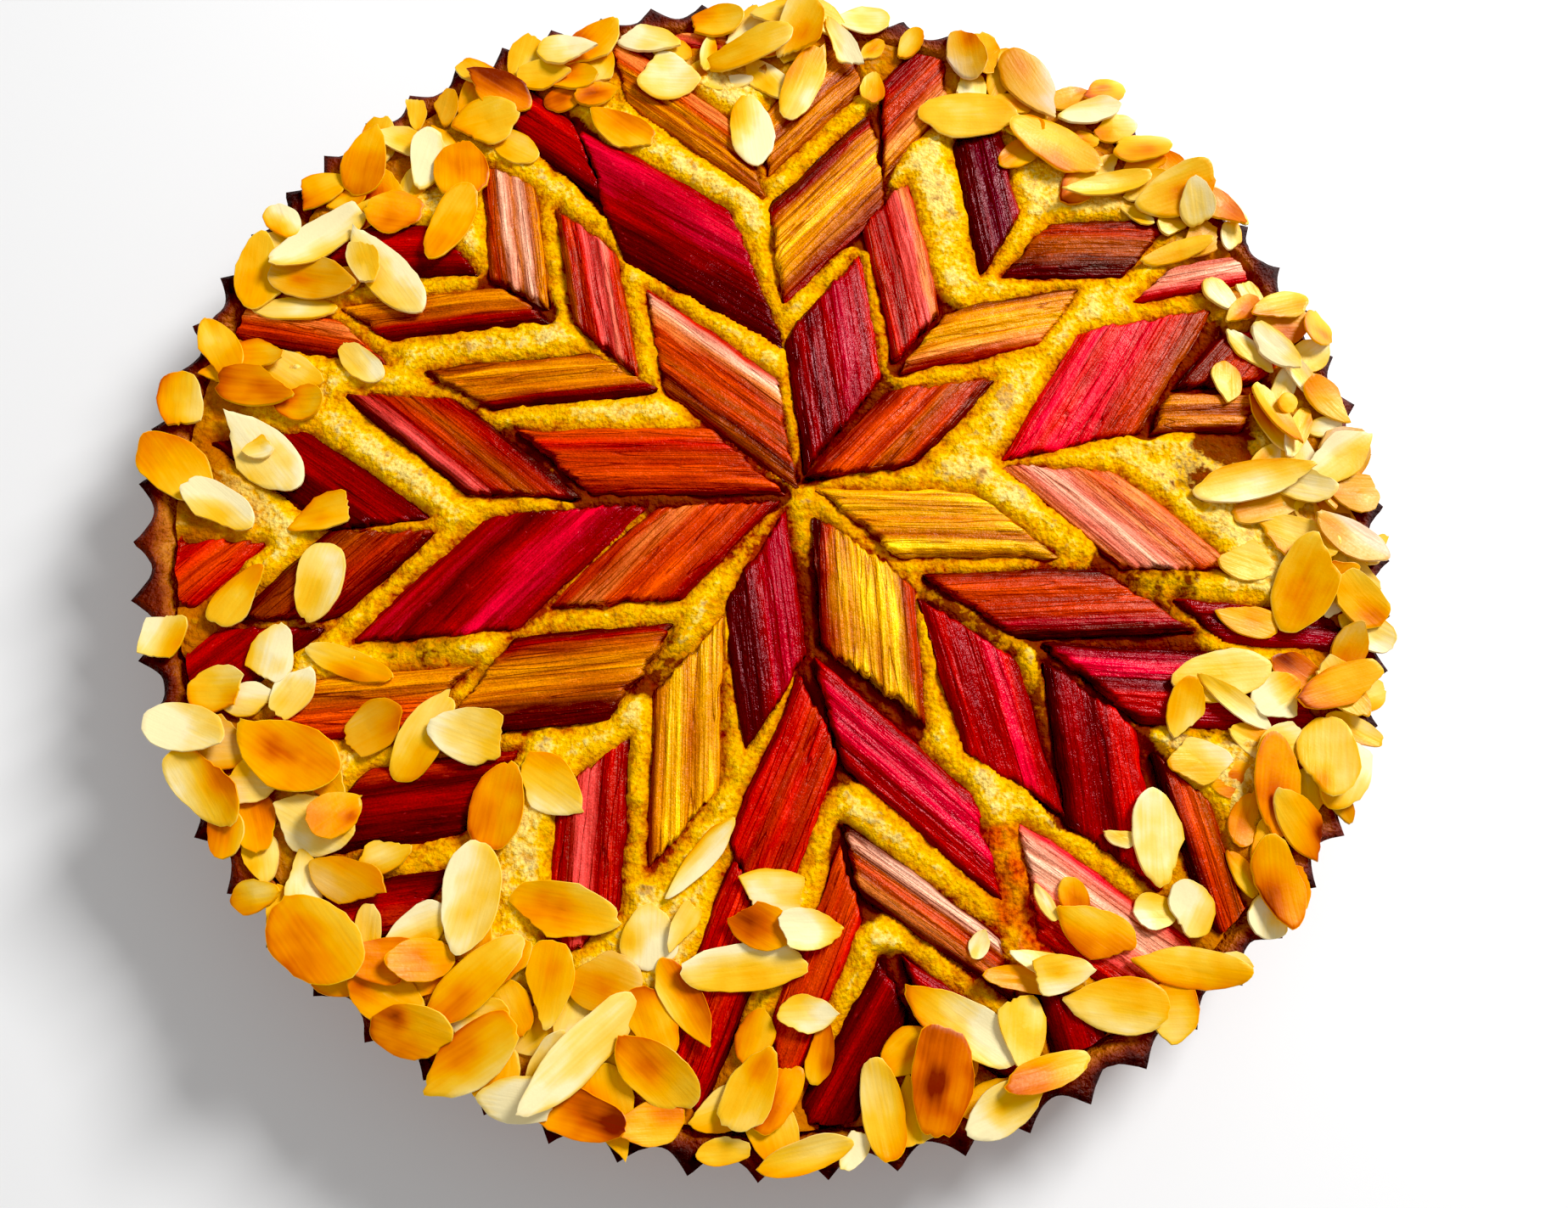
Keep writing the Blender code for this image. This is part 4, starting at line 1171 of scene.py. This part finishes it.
class Ground:
    """A map of how high the tart stands, raised as each flake comes to rest on it."""

    STEP = 0.6 * MM

    def __init__(self, sticks):
        half = int(MAP_REACH / self.STEP)
        side = np.arange(-half, half + 1) * self.STEP
        self.x, self.y = np.meshgrid(side, side, indexing="ij")
        reach = np.hypot(self.x, self.y)
        self.z = np.full(self.x.shape, FILL_HEIGHT + 0.8 * SWELL)
        rim = CASE_HEIGHT - RIM_BEVEL * soft_step(TIP_RADIUS - FLUTE_DEPTH, TIP_RADIUS, reach)
        self.z = np.where(reach > INNER_RIM_RADIUS, rim, self.z)
        for stick in sticks:
            within = outside(stick.outline, self.x, self.y) < 0
            self.z = np.where(within, stick.top, self.z)
        self.z = np.where(reach > TIP_RADIUS - 0.001, CASE_HEIGHT - 0.003, self.z)

    def rest(self, flake, form):
        """Leans a flake on what is under it. It returns the height and the two slopes of its plane."""
        cos, sin = math.cos(flake.turn), math.sin(flake.turn)
        dx, dy = self.x - flake.middle.x, self.y - flake.middle.y
        along = (dx * cos + dy * sin) / flake.half_length
        across = (-dx * sin + dy * cos) / flake.half_width
        under = along**2 + across**2 < 0.9
        a, b, z = along[under], across[under], self.z[under]
        curve = form(a, b)
        table = np.stack([np.ones_like(a), a, b], -1)
        base, lean, roll = np.linalg.lstsq(table, z - curve, rcond=None)[0]
        most = STEEPEST_LEAN * flake.half_length, STEEPEST_LEAN * flake.half_width
        lean, roll = (float(np.clip(value, -end, end)) for value, end in zip((lean, roll), most))
        spare = z - curve - lean * a - roll * b
        base = float(np.quantile(spare, RESTING_SHARE)) + RESTING_GAP
        self.z[under] = np.maximum(z, base + curve + lean * a + roll * b + FLAKE_THICKNESS)
        return base, lean, roll


# A flake's rings of points, from the middle of its upper face over its edge to the middle of its
# lower face: their share of its outline, and their height as a share of its thickness.
RINGS = (
    (0.0, 1.0),
    (0.35, 1.0),
    (0.65, 1.0),
    (0.88, 1.0),
    (0.975, 0.97),
    (1.0, 0.78),
    (1.0, 0.20),
    (0.7, 0.0),
    (0.0, 0.0),
)
RING_POINTS = 36
FACE_RINGS = 5


def in_direction(turn, x, y):
    """How far each spot lies in a direction."""
    return x * math.cos(turn) + y * math.sin(turn)


def flake_outline(draw, jag, chance):
    """The edge of a flake: an oval or a teardrop, with two chances that it is snapped across."""
    turns = np.arange(RING_POINTS) * math.tau / RING_POINTS
    taper = draw.uniform(0.0, 0.6)
    edge = 1 + 0.075 * lattice(turns * 1.6, 0, jag) + 0.035 * lattice(turns * 5, 4, jag)
    edge_x = edge * np.cos(turns)
    edge_y = np.sin(turns) * np.abs(np.sin(turns / 2)) ** taper
    edge_y = edge * edge_y / np.abs(edge_y).max()
    if draw.random() < 0.5:
        edge_x = -edge_x[::-1]
    for _ in range(2):
        if draw.random() > chance:
            continue
        snap = draw.choice((0, math.pi)) + draw.uniform(-SNAP_SWING, SNAP_SWING)
        keep = draw.uniform(*SNAP_KEEPS)
        reach = in_direction(snap, edge_x, edge_y)
        cut = keep * (1 + 0.06 * lattice(turns * 8, 8, jag)) / np.maximum(reach, 0.01)
        shrink = np.minimum(1, cut)
        edge_x, edge_y = edge_x * shrink, edge_y * shrink
    return edge_x, edge_y


def flake_mesh(flake, ground, draw):
    """One thin, slightly curled flake laid on the ground. It returns its points and marks."""
    size = flake.half_length
    cup = draw.uniform(*FLAKE_CUPS) * size
    curl = draw.uniform(*FLAKE_CURLS) * size
    twist = draw.uniform(*FLAKE_TWISTS) * size
    thick = FLAKE_THICKNESS * draw.uniform(*FLAKE_THINS)

    def form(a, b):
        return cup * a * a + curl * b * b + twist * a * b

    base, lean, roll = ground.rest(flake, form)
    jag = draw.randrange(1000)
    sliver = flake.half_width < SLIVER_PROPORTION * flake.half_length
    edge_x, edge_y = flake_outline(draw, jag, SLIVER_SNAP_CHANCE if sliver else SNAP_CHANCE)
    rings, levels = np.array(RINGS).T
    a = FLAKE_GROWTH * rings[:, None] * edge_x
    b = FLAKE_GROWTH * rings[:, None] * edge_y
    ripple = 0.12 * MM * lattice(a * 2.2 + 9, b * 2.2, jag)
    z = base + lean * a + roll * b + form(a, b) + thick * levels[:, None] + ripple
    cos, sin = math.cos(flake.turn), math.sin(flake.turn)
    along, across = a * flake.half_length, b * flake.half_width
    x = flake.middle.x + along * cos - across * sin
    y = flake.middle.y + along * sin + across * cos
    shade = flake.shade or draw.choices(list(LOOSE_SHADES), list(LOOSE_SHADES.values()))[0]
    toast, dull = SHADES[shade]
    toast += draw.uniform(-0.03, 0.03)
    away = draw.uniform(0, math.tau)
    toast_and_glow = toast + draw.uniform(0.06, 0.30) * in_direction(away, a, b)
    away = draw.uniform(0, math.tau)
    far = draw.uniform(0.0, 0.9)
    patch = (a - far * math.cos(away)) ** 2 + (b - far * math.sin(away)) ** 2
    toast_and_glow = toast_and_glow + draw.choice((-0.20, 0.12, 0.22, 0.32)) * np.exp(-patch / draw.uniform(0.10, 0.6))
    away = draw.uniform(0, math.tau)
    browned = 0.5 + 0.5 * in_direction(away, edge_x, edge_y)
    toast_and_glow = toast_and_glow + draw.uniform(-0.06, 0.40) * browned * np.clip(rings, 0.7, 1)[:, None] ** 9
    # Painted light: the flake's edge wall is drawn paler, as a painted glow through the thin almond.
    toast_and_glow[FACE_RINGS:] = 0.50 * toast_and_glow[FACE_RINGS:]
    start = 0.03 * draw.random()
    marks = {
        "toast": toast_and_glow,
        "dull": np.full(x.shape, dull),
        "grain": along + start,
        "width": across + start,
    }
    return np.stack([x, y, z], -1), marks


def fill_in(order, sticks):
    """Small flakes for the stretches of the border that the others leave bare."""
    draw = random.Random(SEED + 2)
    added = []
    for _ in range(FILL_IN_TRIES):
        azimuth = draw.uniform(0, 360)
        reach = math.sqrt(draw.uniform(FILL_IN_INNER**2, FILL_IN_OUTER**2)) / MM
        length = draw.uniform(*FILL_IN_LENGTHS)
        width = length * draw.uniform(*FILL_IN_PROPORTIONS)
        spin = draw.uniform(0, 180)
        turn = math.radians(azimuth)
        x, y = reach * math.cos(turn), reach * math.sin(turn)
        spot = Vector((x, y)) * MM
        near = min((other.middle - spot).length for other in order + added)
        if near < FILL_IN_SPACING or BARE_FROM < azimuth < BARE_TO:
            continue
        flake = Flake(x, y, spin, length, width)
        if reach * MM + length * MM / 2 < TIP_RADIUS + 0.001 and clear(flake, sticks):
            added.append(flake)
    return added


def make_flakes(sticks):
    """All the flaked almonds, in one mesh."""
    ground = Ground(sticks)
    draw = random.Random(SEED + 1)
    listed = (FLAKES, LOWER_FLAKES, UPPER_FLAKES)
    table, lower, upper = ([Flake(*row[:5], shade=row[5]) for row in rows] for rows in listed)
    border = [flake for flake in lay_flakes(sticks) if flake.shade is None]
    order = fill_in(table + lower + border, sticks) + lower + border + table + upper
    points, marks, faces = [], [], []
    rings = len(RINGS)
    index = np.arange(rings * RING_POINTS).reshape(rings, RING_POINTS)
    after = np.roll(index, -1, axis=1)
    walls = np.stack([index[:-1], index[1:], after[1:], after[:-1]], -1).reshape(-1, 4)
    for number, flake in enumerate(order):
        spots, mark = flake_mesh(flake, ground, draw)
        points.append(spots.reshape(-1, 3))
        marks.append(mark)
        faces += (walls + number * rings * RING_POINTS).tolist()
    joined = {key: np.concatenate([mark[key].ravel() for mark in marks]) for key in marks[0]}
    flakes = mesh_object("almond_flakes", np.concatenate(points), faces, joined, 40)
    flakes.data.materials.append(almond_material())
    place(flakes, "almond")


# Floor, light and camera


def make_floor():
    shade = Shader("pale_floor")
    corners = ((-1, -1, 0), (1, -1, 0), (1, 1, 0), (-1, 1, 0))
    points = FLOOR_HALF * np.array(corners, float)
    floor = mesh_object("floor", points, [(0, 1, 2, 3)])
    floor.data.materials.append(shade.finish((0.86, 0.86, 0.86, 1), 0.6))
    floor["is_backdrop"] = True


def add_window(name, azimuth, height, distance, size, power):
    """A soft square light that faces the tart."""
    data = bpy.data.lights.new(name, "AREA")
    data.shape = "SQUARE"
    data.size = size
    data.energy = power
    lamp = bpy.data.objects.new(name, data)
    bpy.context.scene.collection.objects.link(lamp)
    turn, rise = math.radians(azimuth), math.radians(height)
    toward = Vector((math.cos(turn) * math.cos(rise), math.sin(turn) * math.cos(rise), math.sin(rise)))
    lamp.location = toward * distance
    lamp.rotation_euler = toward.to_track_quat("Z", "Y").to_euler()


def light_scene():
    world = bpy.data.worlds.new("studio")
    bpy.context.scene.world = world
    world.use_nodes = True
    sky = world.node_tree.nodes["Background"]
    sky.inputs["Color"].default_value = (1, 1, 1, 1)
    sky.inputs["Strength"].default_value = SKY_STRENGTH
    add_window("key_window", azimuth=42, height=40, distance=1.3, size=0.38, power=21.0)
    add_window("fill_window", azimuth=215, height=50, distance=1.5, size=1.2, power=3.0)


def make_camera():
    turn = Matrix.Rotation(math.radians(VIEW_TURN), 3, "Z")
    lean = math.radians(VIEW_LEAN)
    back = Vector((0, -math.sin(lean), math.cos(lean)))
    right = Vector((1, 0, 0))
    up = back.cross(right)
    roll = math.radians(VIEW_TURN)
    picture_right = math.cos(roll) * right - math.sin(roll) * up
    picture_up = math.sin(roll) * right + math.cos(roll) * up
    spot = Vector((*VIEW_AIM, VIEW_PLANE)) + VIEW_DISTANCE * back
    data = bpy.data.cameras.new("camera")
    data.sensor_width = 36
    data.lens = VIEW_LENS
    data.clip_start = 0.01
    camera = bpy.data.objects.new("camera", data)
    bpy.context.scene.collection.objects.link(camera)
    columns = Matrix((turn @ picture_right, turn @ picture_up, turn @ back)).transposed()
    camera.matrix_world = Matrix.Translation(turn @ spot) @ columns.to_4x4()
    bpy.context.scene.camera = camera


view = bpy.context.scene.view_settings
view.view_transform = "Standard"
view.use_curve_mapping = True
view.curve_mapping.black_level = (BLACK_POINT,) * 3
make_camera()
light_scene()
make_floor()
sticks = star_sticks()
slots = {part["node"]: part["material_slot"] for part in frame["record"]["subparts"]}
for number, stick in enumerate(sticks):
    place(make_stick(stick, number), slots[stick.name], stick.name)
make_frangipane(sticks)
make_case()
make_flakes(sticks)

boxes = {"cad": cad_box, "visual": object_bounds()}
{name: [list(corner) for corner in box] for name, box in boxes.items()}
